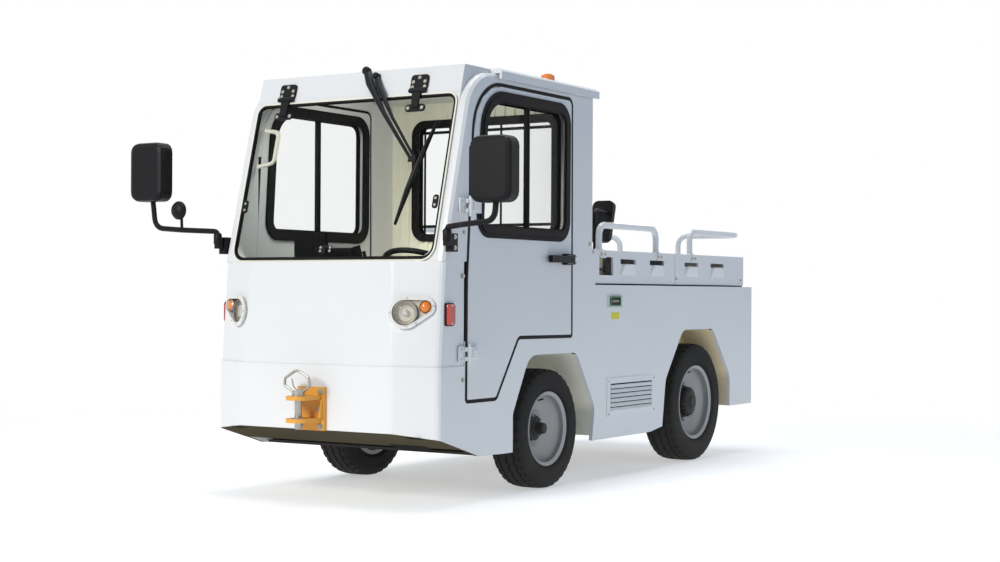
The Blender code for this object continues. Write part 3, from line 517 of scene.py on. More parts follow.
NODE_FINISH = {
    "body_paint": BODY, "door_paint": DOOR_PAINT, "cab_trim": TRIM, "arch_cream": CREAM,
    "chassis_black": CHASSIS, "glass": GLASS, "hitch_yellow": YELLOW, "steel": STEEL,
    "rim_silver": RIM, "tyre": TYRE, "black_plastic": PLASTIC, "seat_cover": VINYL,
    "lamp": BEZEL, "beacon_orange": ORANGE, "battery": BATTERY,
}
SLOTS = {row["node"]: row["material_slot"] for row in frame["record"]["subparts"]}


def dress_nodes():
    """Every CAD node that shows gets its material."""
    for name, thing in frame["nodes"].items():
        thing.data.materials.clear()
        thing.data.materials.append(NODE_FINISH[SLOTS[name]])


# Openings in the sloping underside of the nose: x0, x1 and distances back from its foot.
UNDERSIDE_HOLES = ((0.245, 0.445, 0.235, 0.370), (0.470, 0.556, 0.040, 0.078),
                   (-0.500, -0.430, 0.018, 0.062))


def build_undersides():
    """Matte dark brown painted shade on the faces of the painted sheets that look down, where the
    underside lies in shade.
    """
    for name in ("front_apron", "body_side_left", "body_side_right", "tail_panel"):
        source = frame["nodes"][name].data
        points, faces = [], []
        for face in source.polygons:
            if face.normal.z < -0.90:
                faces.append(list(range(len(points), len(points) + len(face.vertices))))
                points += [tuple(source.vertices[index].co + face.normal * 0.0006)
                           for index in face.vertices]
        if faces:
            piece(f"underside_{name}", [(points, faces)], "tug_body", UNDERSIDE_SHADE)
    holes = []
    # The openings are drawn as flat black patches: painted shade where the holes are.
    for x0, x1, y0, y1 in UNDERSIDE_HOLES:
        holes.append([(x, at(y), 0.328 - 0.294 * y - 0.0012)
                      for x, y in ((x0, y0), (x0, y1), (x1, y1), (x1, y0))])
    piece("underside_holes", [(hole, [[0, 1, 2, 3]]) for hole in holes], "tug_body", SLOT_SHADE_AND_SCREEN)


# ---------------------------------------------------------------- wheels

def zigzag(turns):
    """Triangle wave between -1 and 1."""
    return 4 * abs(turns - math.floor(turns + 0.5)) - 1


def tread_depth(angle, across, reach):
    """How far the tread is cut below its crown at a place on the tyre."""
    pitches = 36
    swing = zigzag(angle / (2 * math.pi) * pitches) * 0.005
    for groove in (-0.55, 0.0, 0.55):
        if abs(across - groove * reach - swing) < 0.0042:
            return 0.007
    notch = (angle / (2 * math.pi) * pitches + (0.5 if across > 0 else 0)) % 1
    if abs(across) > reach * 0.80 and notch < 0.30:
        return 0.006
    return 0.0


def tyre_shape(radius, half, flange):
    """Tyre about the X axis at the origin: treaded crown and ribbed sidewalls."""
    around, columns = 288, 44
    reach = half * 0.86
    wall = [(flange - 0.010, half - 0.0170), (flange + 0.004, half - 0.0168),
            (flange + 0.012, half - 0.008), (flange + 0.020, half - 0.0025),
            (flange + 0.024, half - 0.0030), (flange + 0.034, half - 0.0005),
            (radius - 0.060, half - 0.0002), (radius - 0.052, half - 0.0022),
            (radius - 0.046, half - 0.0006), (radius - 0.030, half - 0.0030),
            (radius - 0.014, half - 0.0080)]
    points, faces = [], []
    for step in range(around):
        angle = 2 * math.pi * step / around
        ring = [(r, -x) for r, x in wall]
        for column in range(columns + 1):
            across = (2 * column / columns - 1) * reach
            crown = radius - 0.0045 * (across / reach) ** 4 - 0.0015 * (across / reach) ** 2
            ring.append((crown - tread_depth(angle, across, reach), across))
        ring += [(r, x) for r, x in reversed(wall)]
        points += [(x, r * math.cos(angle), r * math.sin(angle)) for r, x in ring]
        count = len(ring)
    for step in range(around):
        following = (step + 1) % around
        for k in range(count - 1):
            faces.append((step * count + k, step * count + k + 1,
                          following * count + k + 1, following * count + k))
    return points, faces


def rim_shape(flange, edge):
    """Flange and dished disc of a wheel, turned from one closed profile."""
    seat = flange - 0.012
    barrel = seat - 0.008
    dish = [(0.020, -0.022), (0.078, -0.022), (0.088, -0.006), (barrel - 0.026, -0.002),
            (barrel - 0.004, -0.030), (barrel - 0.002, -edge - 0.006), (flange - 0.003, -edge - 0.008),
            (flange, -edge - 0.004), (flange, -edge), (seat, -edge + 0.004), (seat, -0.045),
            (seat - 0.020, -0.030), (seat - 0.020, 0.030), (seat, 0.045), (seat, edge - 0.004),
            (flange, edge), (flange, edge + 0.004), (flange - 0.003, edge + 0.008),
            (flange - 0.008, edge + 0.006), (barrel + 0.001, edge - 0.002), (barrel, 0.050),
            (barrel - 0.004, 0.040), (barrel - 0.020, 0.022), (barrel - 0.030, 0.016),
            (barrel - 0.040, 0.012), (0.098, 0.004), (0.088, 0.002), (0.080, -0.006),
            (0.074, -0.010), (0.020, -0.010)]
    return lathe(dish, (0, 0, 0), "X", 96, closed=True)


def hub_shapes(end):
    """Black hub in the middle of a rim, and its nuts."""
    if end == "front":
        hub = [(0.0001, 0.062), (0.020, 0.062), (0.026, 0.058), (0.028, 0.046), (0.030, 0.020),
               (0.040, 0.016), (0.043, 0.010), (0.062, 0.004), (0.066, -0.004), (0.066, -0.011)]
        nuts, circle_radius = 5, 0.057
    else:
        hub = [(0.0001, 0.076), (0.030, 0.076), (0.036, 0.070), (0.044, 0.064), (0.058, 0.060),
               (0.072, 0.052), (0.076, 0.044), (0.076, 0.020), (0.082, 0.014), (0.094, 0.008),
               (0.096, -0.011)]
        nuts, circle_radius = 6, 0.094
    shapes = [lathe(hub, (0, 0, 0), "X", 40)]
    if end == "rear":
        for k in range(16):
            angle = 2 * math.pi * k / 16
            across, up = math.cos(angle), math.sin(angle)
            shapes += bolt((0.0520, 0.065 * across, 0.065 * up), (1, 0, 0), 0.0065)
            shapes.append(tube([(0.022, 0.077 * across, 0.077 * up),
                                (0.046, 0.077 * across, 0.077 * up)], 0.008, 10))
    studs = []
    for k in range(nuts):
        angle = 2 * math.pi * (k + 0.5) / nuts
        place = (-0.010 if end == "front" else -0.002,
                 circle_radius * math.cos(angle) * 1.12, circle_radius * math.sin(angle) * 1.12)
        studs += bolt(place, (1, 0, 0), 0.0105)
        studs.append(lathe([(0.0001, 0.022), (0.0045, 0.021), (0.0055, 0.0)], place, "X", 12))
    return shapes, studs


def build_wheels():
    for end in ("front", "rear"):
        for side, sign in SIDES:
            low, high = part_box(f"tyre_{end}_{side}")
            rim_low, rim_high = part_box(f"rim_{end}_{side}")
            centre = Vector([(a + b) / 2 for a, b in zip(low, high)])
            radius = (high[2] - low[2]) / 2
            half = (high[0] - low[0]) / 2
            flange = (rim_high[2] - rim_low[2]) / 2
            edge = half - 0.016
            place = Matrix.Translation(centre) @ (Matrix.Identity(4) if sign > 0
                                                  else Matrix.Rotation(math.pi, 4, "Z"))
            body = f"wheel_{end}_{side}"
            piece(f"tyre_tread_{end}_{side}", [shifted(tyre_shape(radius, half, flange), place)],
                  body, TYRE, replaces=(f"tyre_{end}_{side}",))
            piece(f"wheel_rim_{end}_{side}", [shifted(rim_shape(flange, edge), place)], body, RIM,
                  replaces=(f"rim_{end}_{side}",))
            hub, studs = hub_shapes(end)
            piece(f"hub_cap_{end}_{side}", [shifted(s, place) for s in hub], body, CHASSIS)
            piece(f"wheel_nuts_{end}_{side}", [shifted(s, place) for s in studs], body, RIM)
            valve = tube([(0.018, 0.0, flange - 0.048), (0.052, 0.0, flange - 0.040)], 0.004, 10)
            piece(f"valve_{end}_{side}", [shifted(valve, place)], body, RUBBER)


# ---------------------------------------------------------------- doors

OPENING = rounded([
    (at(0.285), 0.457, 0.018), (at(0.543), 0.457, 0.040), (at(0.738), 0.734, 0.030),
    (at(1.244), 0.731, 0.018), (at(1.238), 1.905, 0.040), (at(0.347), 1.905, 0.240),
    (at(0.287), 1.000, 0.0),
], 10)
WINDOW = rounded([
    (at(0.388), 1.222, 0.070), (at(1.184), 1.222, 0.080), (at(1.188), 1.846, 0.080),
    (at(0.430), 1.846, 0.170),
], 10)


def build_doors():
    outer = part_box("body_side_left")[1][0]
    for side, sign in SIDES:
        body = f"door_body_{side}"
        seal = [band(offset(OPENING, -0.0006), offset(OPENING, -0.0085), "X",
                     outer - 0.034, outer - 0.002),
                band(offset(OPENING, 0.0040), offset(OPENING, -0.0122), "X",
                     outer + 0.0003, outer + 0.0014)]
        piece(f"door_seal_{side}", seal, "tug_body", RUBBER, sign=sign)
        gasket = [band(offset(WINDOW, 0.026), offset(WINDOW, -0.030), "X", outer + 0.0022,
                       outer + 0.0075),
                  band(offset(WINDOW, 0.006), offset(WINDOW, -0.024), "X", outer + 0.006,
                       outer + 0.0125),
                  band(offset(WINDOW, 0.022), offset(WINDOW, -0.030), "X", outer - 0.046,
                       outer - 0.0355)]
        middle = at(0.815)
        foot, head = 1.240, 1.832
        gasket.append(box((outer - 0.018, outer + 0.003), (middle - 0.013, middle + 0.013),
                          (foot, head)))
        gasket.append(box((outer - 0.010, outer + 0.0065), (middle - 0.005, middle + 0.004),
                          (foot, head)))
        gasket.append(box((outer - 0.018, outer - 0.004), (at(0.40), at(1.18)),
                          (foot - 0.004, foot + 0.018)))
        piece(f"window_rubber_{side}", gasket, body, RUBBER, bevel=0.002, sign=sign)
        build_handle(side, sign, outer, body)
        build_hinges(side, sign, outer, body)


def build_handle(side, sign, outer, body):
    """Black lever with its escutcheon and lock, over the plain grip of the door."""
    level = 1.112
    escutcheon = prism(rounded([(at(1.138), level - 0.028, 0.010), (at(1.226), level - 0.024, 0.010),
                                (at(1.226), level + 0.024, 0.010),
                                (at(1.138), level + 0.028, 0.010)]),
                       "X", outer + 0.0005, outer + 0.0315)
    stations = ((0.992, 0.016, 0.002), (1.004, 0.018, 0.0), (1.060, 0.0165, 0.0),
                (1.120, 0.0165, 0.0), (1.150, 0.019, 0.0), (1.205, 0.020, 0.0),
                (1.230, 0.016, 0.002))
    lever = stack([[(outer + 0.012, at(y), level - h), (outer + 0.0365 - d, at(y), level - h),
                    (outer + 0.0365 - d, at(y), level + h), (outer + 0.012, at(y), level + h)]
                   for y, h, d in stations])
    lock = lathe([(0.0001, 0.0385), (0.010, 0.0385), (0.013, 0.035), (0.013, 0.020)],
                 (outer, at(1.184), level), "X", 24)
    piece(f"door_lever_{side}", (escutcheon, lever, lock), body, PLASTIC, bevel=0.0015, sign=sign)


def build_hinges(side, sign, outer, body):
    """White hinge leaves on both sides of the gap, with pins and screws."""
    pin_place = (outer + 0.022, at(0.285))
    for index, level in enumerate((0.674, 1.332)):
        fixed, screws = [], []
        leaf = rounded([(at(0.222), level - 0.036, 0.008), (at(0.272), level - 0.036, 0.004),
                        (at(0.272), level + 0.036, 0.004), (at(0.222), level + 0.036, 0.008)])
        fixed.append(prism(leaf, "X", outer + 0.0003, outer + 0.008))
        for low, high in ((level - 0.030, level - 0.012), (level + 0.012, level + 0.030)):
            fixed.append(box((outer + 0.004, pin_place[0]), (at(0.262), at(0.276)), (low, high)))
        fixed.append(lathe([(0.0001, -0.046), (0.006, -0.045), (0.006, -0.034), (0.010, -0.033),
                            (0.010, -0.012), (0.0095, -0.012)], (*pin_place, level), "Z", 20))
        fixed.append(lathe([(0.0095, 0.012), (0.010, 0.012), (0.010, 0.033), (0.006, 0.034),
                            (0.006, 0.045), (0.0001, 0.046)], (*pin_place, level), "Z", 20))
        for z in (level - 0.022, level + 0.022):
            screws += screw((outer + 0.008, at(0.240), z), (1, 0, 0), 0.007)
        piece(f"hinge_leaf_{side}_{index}", fixed, "tug_body", BODY, bevel=0.0015, sign=sign)
        piece(f"hinge_screws_{side}_{index}", screws, "tug_body", STEEL, sign=sign)
        block = box((outer + 0.004, outer + 0.030), (at(0.300), at(0.352)),
                    (level - 0.022, level + 0.022))
        door_screws = []
        for y in (0.330, 0.352):
            door_screws += screw((outer + 0.026, at(y), level), (1, 0, 0), 0.006)
        piece(f"hinge_block_{side}_{index}", [block], body, BODY, bevel=0.004, sign=sign)
        piece(f"hinge_pins_{side}_{index}", door_screws, body, STEEL, sign=sign)


# ---------------------------------------------------------------- windscreen and its fittings

SCREEN = dict(reach=0.570, low=1.094, high=1.840)


def leaned(shape):
    """Shape drawn as (x, depth in front of the pane's plane, z), laid on the leaning windscreen."""
    points, faces = shape
    return [(x, at(screen_at(z, -depth)), z) for x, depth, z in points], faces


def screen_outline(grow=0.0):
    reach, low, high = SCREEN["reach"] + grow, SCREEN["low"] - grow, SCREEN["high"] + grow
    return rounded([(-reach, low, 0.060 + grow), (reach, low, 0.060 + grow),
                    (reach, high, 0.045 + grow), (-reach, high, 0.045 + grow)], 8)


def build_windscreen():
    edge = band(screen_outline(0.0005), screen_outline(-0.008), "Y", 0.0125, 0.0150)
    behind = band(screen_outline(-0.002), screen_outline(-0.014), "Y", 0.0030, 0.0064)
    piece("windscreen_rubber", [leaned(edge), leaned(behind)], "tug_body", RUBBER)
    bead = band(screen_outline(0.0085), screen_outline(0.0010), "Y", 0.0125, 0.0150)
    piece("windscreen_bead", [leaned(bead)], "tug_body", TRIM)
    for index, across in enumerate((0.356, -0.407)):
        leaf = plate((across - 0.047, across + 0.047), (1.866, 1.938), 0.016)
        foot = plate((across - 0.054, across + 0.054), (1.764, 1.800), 0.017)
        strap = [(across - 0.019, 1.784), (across + 0.019, 1.784), (across + 0.025, 1.872),
                 (across - 0.025, 1.872)]
        hinge = [prism(leaf, "Y", 0.007, 0.017), prism(foot, "Y", 0.013, 0.021),
                 prism(strap, "Y", 0.017, 0.028),
                 lathe([(0.0001, -0.044), (0.010, -0.044), (0.012, -0.041), (0.012, 0.041),
                        (0.010, 0.044), (0.0001, 0.044)], (across, 0.022, 1.864), "X", 16)]
        piece(f"windscreen_hinge_{index}", [leaned(shape) for shape in hinge], "tug_body",
              PLASTIC, bevel=0.0015)
        heads = []
        for shift, level, depth in ((-0.032, 1.904, 0.016), (0.032, 1.904, 0.016),
                                    (0.0, 1.924, 0.016), (-0.034, 1.880, 0.016),
                                    (0.034, 1.880, 0.016), (-0.038, 1.782, 0.020),
                                    (0.038, 1.782, 0.020)):
            place = (across + shift, at(screen_at(level, -depth)), level)
            heads += bolt(place, (0, -1, 0.25), 0.0055)
        piece(f"windscreen_hinge_bolts_{index}", heads, "tug_body", STEEL)
    latch = [prism(plate((-0.058, 0.012), (1.124, 1.160), 0.010), "Y", 0.013, 0.020),
             box((-0.032, -0.014), (0.018, 0.032), (1.120, 1.150))]
    heads = []
    for across in (-0.545, 0.545):
        latch.append(prism(plate((across - 0.014, across + 0.014), (1.318, 1.380), 0.012), "Y",
                           0.013, 0.021))
        heads += [(across, 1.334), (across, 1.364)]
    piece("windscreen_latches", [leaned(shape) for shape in latch], "tug_body", PLASTIC,
          bevel=0.002)
    heads += [(-0.050, 1.134), (-0.050, 1.150), (0.004, 1.134), (0.004, 1.150)]
    piece("windscreen_latch_screws",
          [shape for x, z in heads
           for shape in bolt((x, at(screen_at(z, -0.0195)), z), (0, -1, 0.25), 0.0040)],
          "tug_body", STEEL)
    grab = tube(bent([(-0.540, -0.026, 1.722, 0), (-0.466, -0.040, 1.712, 0.026),
                      (-0.466, -0.040, 1.562, 0.026), (-0.548, -0.026, 1.546, 0)]), 0.0105)
    piece("grab_handle", [leaned(grab)], "tug_body", TRIM)


def build_wiper():
    """Two parallel arms from the header to a framed blade on the pane."""
    heel = [leaned(tube([(0.046, 0.014, 1.976), (0.085, 0.030, 1.914), (0.215, 0.056, 1.760),
                         (0.392, 0.046, 1.548)], [0.017, 0.018, 0.010, 0.007], 12)),
            leaned(tube([(0.108, 0.014, 1.946), (0.142, 0.030, 1.894), (0.262, 0.052, 1.740),
                         (0.414, 0.046, 1.548)], [0.013, 0.013, 0.007, 0.006], 12))]
    for across, level, radius in ((0.046, 1.972, 0.020), (0.108, 1.944, 0.016)):
        cap = lathe([(0.0001, 0.030), (radius * 0.7, 0.029), (radius, 0.022), (radius, 0.0)],
                    (0, 0, 0), "Z", 24)
        heel.append(shifted(cap, facing((across, at(screen_at(level, -0.004)), level),
                                        (0, -0.97, 0.25))))
    heel.append(leaned(box((0.385, 0.425), (0.036, 0.052), (1.530, 1.558))))
    heel.append(leaned(tube([(0.405, 0.046, 1.548), (0.432, 0.030, 1.516)], 0.010, 12)))
    frame_path = [(0.489, 0.022, 1.708), (0.455, 0.036, 1.598), (0.430, 0.040, 1.516),
                  (0.394, 0.036, 1.404), (0.347, 0.022, 1.252)]
    heel.append(leaned(tube(frame_path, [0.005, 0.007, 0.012, 0.011, 0.006], 10)))
    for start, end in (((0.489, 1.708), (0.440, 1.550)), ((0.396, 1.410), (0.347, 1.252))):
        heel.append(leaned(tube([(start[0], 0.020, start[1]), (end[0], 0.026, end[1])],
                                0.0035, 8)))
    blade = leaned(tube([(0.491, 0.0165, 1.712), (0.345, 0.0165, 1.248)], 0.0055, 8))
    piece("wiper_arms", heel, "tug_body", PLASTIC, replaces=("wiper",))
    piece("wiper_blade", [blade], "tug_body", RUBBER)


# ---------------------------------------------------------------- lamps

LAMP_PLACE = (Matrix.Translation((0.471, at(0.042), 0.857))
              @ Matrix.Rotation(math.radians(24), 4, "Z")
              @ Matrix.Rotation(-math.atan(FRONT_LEAN), 4, "X"))


def build_headlights():
    """Round headlamp and amber indicator in each pocket, on a thin bezel with screws."""
    for side, sign in SIDES:
        rim_outer, rim_inner = keyhole(0.072, 0.043, 0.092, 0.026), keyhole(0.0595, 0.0325, 0.092,
                                                                          0.026)
        bezel = band(rim_outer, rim_inner, "Y", -0.0125, -0.0098)
        lip = band(keyhole(0.0605, 0.0335, 0.092, 0.026), keyhole(0.0565, 0.0295, 0.092, 0.026),
                   "Y", -0.0150, 0.004)
        bowl = lathe([(0.0500, -0.004), (0.0490, 0.004), (0.0440, 0.018), (0.0340, 0.032),
                      (0.0200, 0.041), (0.0090, 0.044), (0.0001, 0.045)], (0, 0, 0), "Y", 40)
        ring = lathe([(0.0545, 0.0), (0.0545, -0.008), (0.0500, -0.010), (0.0480, -0.006),
                      (0.0480, 0.004), (0.0545, 0.004)], (0, 0, 0), "Y", 40, closed=True)
        bulb = lathe([(0.0001, 0.002), (0.009, 0.005), (0.014, 0.013), (0.014, 0.022),
                      (0.009, 0.044)], (0, 0, 0), "Y", 24)
        shield = keyhole(0.0575, 0.0305, 0.092, 0.026)
        back = prism(shield, "Y", 0.030, 0.034)
        pane = lathe([(0.0001, -0.0145), (0.020, -0.0135), (0.036, -0.0110), (0.048, -0.0065)],
                     (0, 0, 0), "Y", 40)
        amber = lathe([(0.0001, -0.016), (0.010, -0.0155), (0.018, -0.0125), (0.0245, -0.006),
                       (0.0265, 0.002), (0.0265, 0.012)], (0.092, 0, 0.026), "Y", 32)
        cup = lathe([(0.0290, -0.002), (0.0290, -0.006), (0.0265, -0.008), (0.0262, 0.012),
                     (0.0290, 0.012)], (0.092, 0, 0.026), "Y", 32, closed=True)
        screws = []
        for x, z in ((-0.0655, 0.0), (0.010, 0.0655), (0.010, -0.0655), (0.130, 0.030),
                     (0.052, -0.046)):
            screws += screw((x, -0.0125, z), (0, -1, 0), 0.0042)
        for label, shapes, material in (
            ("bezel", [bezel, lip], BEZEL), ("bowl", [bowl, back], REFLECTOR),
            ("ring", [ring, cup], STEEL), ("bulb", [bulb], BEZEL), ("glass", [pane], CLEAR),
            ("indicator", [amber], ORANGE), ("screws", screws, STEEL),
        ):
            piece(f"headlamp_{label}_{side}",
                  [shifted(shape, LAMP_PLACE) for shape in shapes], "tug_body",
                  material, sign=sign)


def build_side_lamps():
    """Red marker lamp behind each front corner."""
    for side, sign in SIDES:
        outer = HALF_WIDTH
        base = prism(side_plate((0.122, 0.186), (0.800, 0.901), 0.008), "X", outer - 0.006,
                     outer + 0.004)
        dome = stack([lifted(side_plate((0.126 + inset, 0.182 - inset),
                                        (0.804 + inset, 0.897 - inset), 0.008), "X", level)
                      for inset, level in ((0.0, outer + 0.003), (0.001, outer + 0.012),
                                           (0.004, outer + 0.016))])
        screws = []
        for level in (0.812, 0.889):
            screws += screw((outer + 0.015, at(0.154), level), (1, 0, 0), 0.0055)
        piece(f"marker_base_{side}", [base], "tug_body", PLASTIC, sign=sign)
        piece(f"marker_lens_{side}", [dome], "tug_body", RED, sign=sign)
        piece(f"marker_screws_{side}", screws, "tug_body", STEEL, sign=sign)


def build_tail():
    """Red and amber tail lamps in black rims, and a blank plate."""
    face = TAIL
    for side, sign in SIDES:
        shapes = {"red": [], "amber": [], "ring": []}
        for across, level, colour in ((0.520, 0.800, "red"), (0.520, 0.690, "amber")):
            lens_dome = lathe([(0.0001, 0.020), (0.020, 0.0185), (0.036, 0.012), (0.042, 0.002)],
                              (across, face, level), "Y", 32)
            rim = lathe([(0.042, 0.0), (0.042, 0.008), (0.048, 0.008), (0.050, 0.0005)],
                        (across, face, level), "Y", 32)
            shapes[colour].append(lens_dome)
            shapes["ring"].append(rim)
        for colour, material in (("red", RED), ("amber", ORANGE), ("ring", PLASTIC)):
            piece(f"tail_lamp_{colour}_{side}", shapes[colour], "tug_body", material, sign=sign)
    sign_plate = prism(plate((-0.11, 0.11), (0.600, 0.700), 0.008), "Y", face, face + 0.002)
    piece("blank_number_plate", [sign_plate], "tug_body", PLATE)


# ---------------------------------------------------------------- side fittings

def side_plate(y, z, radius):
    """Rounded outline between distances y behind the front and heights z."""
    return plate((at(y[0]), at(y[1])), z, radius)


def build_vents():
    """Slotted air vent in each side between the wheels."""
    outer = HALF_WIDTH
    for side, sign in SIDES:
        frame_ring = band(side_plate((1.607, 2.160), (0.312, 0.513), 0.010),
                          side_plate((1.645, 2.113), (0.342, 0.483), 0.004), "X",
                          outer + 0.0002, outer + 0.003)
        fins = []
        for index in range(6):
            foot = 0.342 + index * 0.0235
            fins.append(stack([[(outer + 0.0004, y, foot), (outer + 0.0085, y, foot - 0.001),
                                (outer + 0.0095, y, foot + 0.001),
                                (outer + 0.0012, y, foot + 0.0165)]
                               for y in (at(1.647), at(2.111))]))
        # A black plate behind the fins: painted shade inside the vent.
        dark = box((outer + 0.0001, outer + 0.0005), (at(1.645), at(2.113)), (0.342, 0.483))
        screws = []
        for y in (1.626, 2.137):
            for z in (0.328, 0.497):
                screws += screw((outer + 0.003, at(y), z), (1, 0, 0), 0.0065)
        for label, shapes, material in (("frame", [frame_ring], BODY), ("fins", fins, BODY),
                                        ("dark", [dark], SLOT_SHADE_AND_SCREEN), ("screws", screws, STEEL)):
            piece(f"vent_{label}_{side}", shapes, "tug_body", material, sign=sign)


def build_charging_socket():
    """The charging socket on its plate."""
    outer = HALF_WIDTH
    base = prism(side_plate((1.607, 1.772), (0.872, 0.943), 0.010), "X", outer, outer + 0.003)
    ring = band(side_plate((1.632, 1.745), (0.882, 0.933), 0.010),
                side_plate((1.640, 1.737), (0.888, 0.927), 0.008), "X", outer + 0.002,
                outer + 0.009)
    inside = prism(side_plate((1.640, 1.737), (0.888, 0.927), 0.008), "X", outer + 0.002,
                   outer + 0.005)
    poles = [lathe([(0.0001, 0.009), (0.006, 0.009), (0.007, 0.005), (0.007, 0.004)],
                   (outer, at(y), 0.9075), "X", 16) for y in (1.664, 1.689, 1.714)]
    sticker = prism(side_plate((1.650, 1.737), (0.815, 0.850), 0.003), "X", outer,
                    outer + 0.0008)
    screws = []
    for y in (1.618, 1.761):
        for z in (0.884, 0.931):
            screws += screw((outer + 0.003, at(y), z), (1, 0, 0), 0.004)
    piece("socket_plate", [base], "tug_body", PLATE)
    piece("socket_ring", [ring], "tug_body", GREEN)
    piece("socket_inside", [inside], "tug_body", PLASTIC)
    piece("socket_poles", poles, "tug_body", STEEL)
    piece("socket_screws", screws, "tug_body", STEEL)
    piece("blank_sticker", [sticker], "tug_body", LABEL)


def build_pillar_bolts():
    for side, sign in SIDES:
        heads = []
        for y, z in ((0.268, 1.250), (0.268, 1.215), (0.262, 1.020), (0.262, 0.560),
                     (1.420, 1.195)):
            heads += bolt((HALF_WIDTH, at(y), z), (1, 0, 0), 0.0075)
        heads += bolt((0.667, at(0.140), 1.190), (1, 0, 0), 0.007)
        heads += bolt((0.667, at(0.140), 1.142), (1, 0, 0), 0.007)
        piece(f"pillar_bolts_{side}", heads, "tug_body", STEEL, sign=sign)


# ---------------------------------------------------------------- deck

LOUVRES = {"front": ((1.765, 1.957), (2.106, 2.290)), "rear": ((2.530, 2.725), (2.877, 3.075))}


def build_covers():
    """Pressed louvres under each slot, rail feet with bolts and a dark seal round the deck."""
    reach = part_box("deck_cover_front")[1][0]
    for end, feet in (("front", (1.580, 2.224)), ("rear", (2.650,))):
        body = f"cover_{end}_body"
        for side, sign in SIDES:
            hoods, bolts, pads = [], [], []
            for start, finish_at in LOUVRES[end]:
                foot = [(reach, at(start), 1.040), (reach, at(finish_at), 1.040),
                        (reach, at(finish_at - 0.036), 1.100), (reach, at(start + 0.036), 1.100)]
                crest = [(reach + 0.003, at(start + 0.012), 1.046),
                         (reach + 0.003, at(finish_at - 0.012), 1.046),
                         (reach + 0.014, at(finish_at - 0.044), 1.1005),
                         (reach + 0.014, at(start + 0.044), 1.1005)]
                hoods.append(stack([foot, crest]))
            for y in feet:
                pads.append(box((reach - 0.0005, reach + 0.005), (at(y - 0.030), at(y + 0.030)),
                                (1.128, 1.166)))
                for shift in (-0.018, 0.018):
                    bolts += bolt((reach + 0.005, at(y + shift), 1.147), (1, 0, 0), 0.006)
            if end == "rear":
                for y in (2.436, 3.310):
                    bolts += bolt((reach, at(y), 1.030), (1, 0, 0), 0.006)
            piece(f"louvres_{end}_{side}", hoods, body, BODY, bevel=0.003, sign=sign)
            piece(f"rail_pads_{end}_{side}", pads, body, BODY, bevel=0.001, sign=sign)
            piece(f"cover_bolts_{end}_{side}", bolts, body, STEEL, sign=sign)
            weld = []
            for y in feet:
                weld.append(lathe([(0.0175, 0.010), (0.0215, 0.004), (0.0245, 0.0005)],
                                  (0.595, at(y), 1.168), "Z", 24))
            piece(f"rail_welds_{end}_{side}", weld, body, BODY, sign=sign)
    deck = 0.981
    strip = [box((-0.6095, -0.597), (at(1.485), at(3.350)), (deck, 0.9975)),
             box((0.597, 0.6095), (at(1.485), at(3.350)), (deck, 0.9975)),
             box((-0.6095, 0.6095), (at(3.330), at(3.344)), (deck, 0.9975))]
    piece("deck_seal", strip, "tug_body", RUBBER)
    piece("catch_backing", [box((0.556, 0.559), (at(1.515), at(1.690)), (0.998, 1.138))],
          "cover_front_body", CREAM)
    lever = [tube([(0.596, at(1.545), 1.070), (0.596, at(1.635), 1.070)], [0.006, 0.008], 14),
             tube([(0.561, at(1.560), 1.070), (0.596, at(1.560), 1.070)], 0.007, 14),
             lathe([(0.0001, 0.012), (0.010, 0.010), (0.013, 0.0), (0.010, -0.010),
                    (0.0001, -0.012)], (0.596, at(1.640), 1.070), "X", 20)]
    piece("catch_lever", lever, "cover_front_body", PLASTIC)


# ---------------------------------------------------------------- mirrors

def build_mirror_faces():
    for side, sign in SIDES:
        top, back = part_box(f"mirror_{side}")[1][2], at(0.010)
        face = prism(plate((0.880, 1.060), (top - 0.268, top - 0.012), 0.035), "Y",
                     back - 0.001, back + 0.0015)
        knuckle = lathe([(0.0001, 0.030), (0.016, 0.028), (0.020, 0.020), (0.020, -0.020),
                         (0.016, -0.028), (0.0001, -0.030)],
                        (0.655, at(0.095), 1.195), "Z", 24)
        piece(f"mirror_face_{side}", [face], "tug_body", MIRROR, sign=sign)
        piece(f"mirror_joint_{side}", [knuckle], "tug_body", PLASTIC, sign=sign)
    spot = lathe([(0.0001, -0.022), (0.020, -0.020), (0.036, -0.012), (0.044, 0.0),
                  (0.044, 0.006), (0.0001, 0.008)], (-0.800, at(-0.020), 1.330), "Y", 32)
    stem = tube([(-0.800, at(0.000), 1.330), (-0.805, at(0.010), 1.240)], 0.007, 10)
    piece("spot_mirror", [spot, stem], "tug_body", PLASTIC)


# ---------------------------------------------------------------- hitches

PIN_REACH = 0.108
JAWS = (("front", FRONT, -1), ("rear", TAIL, 1))


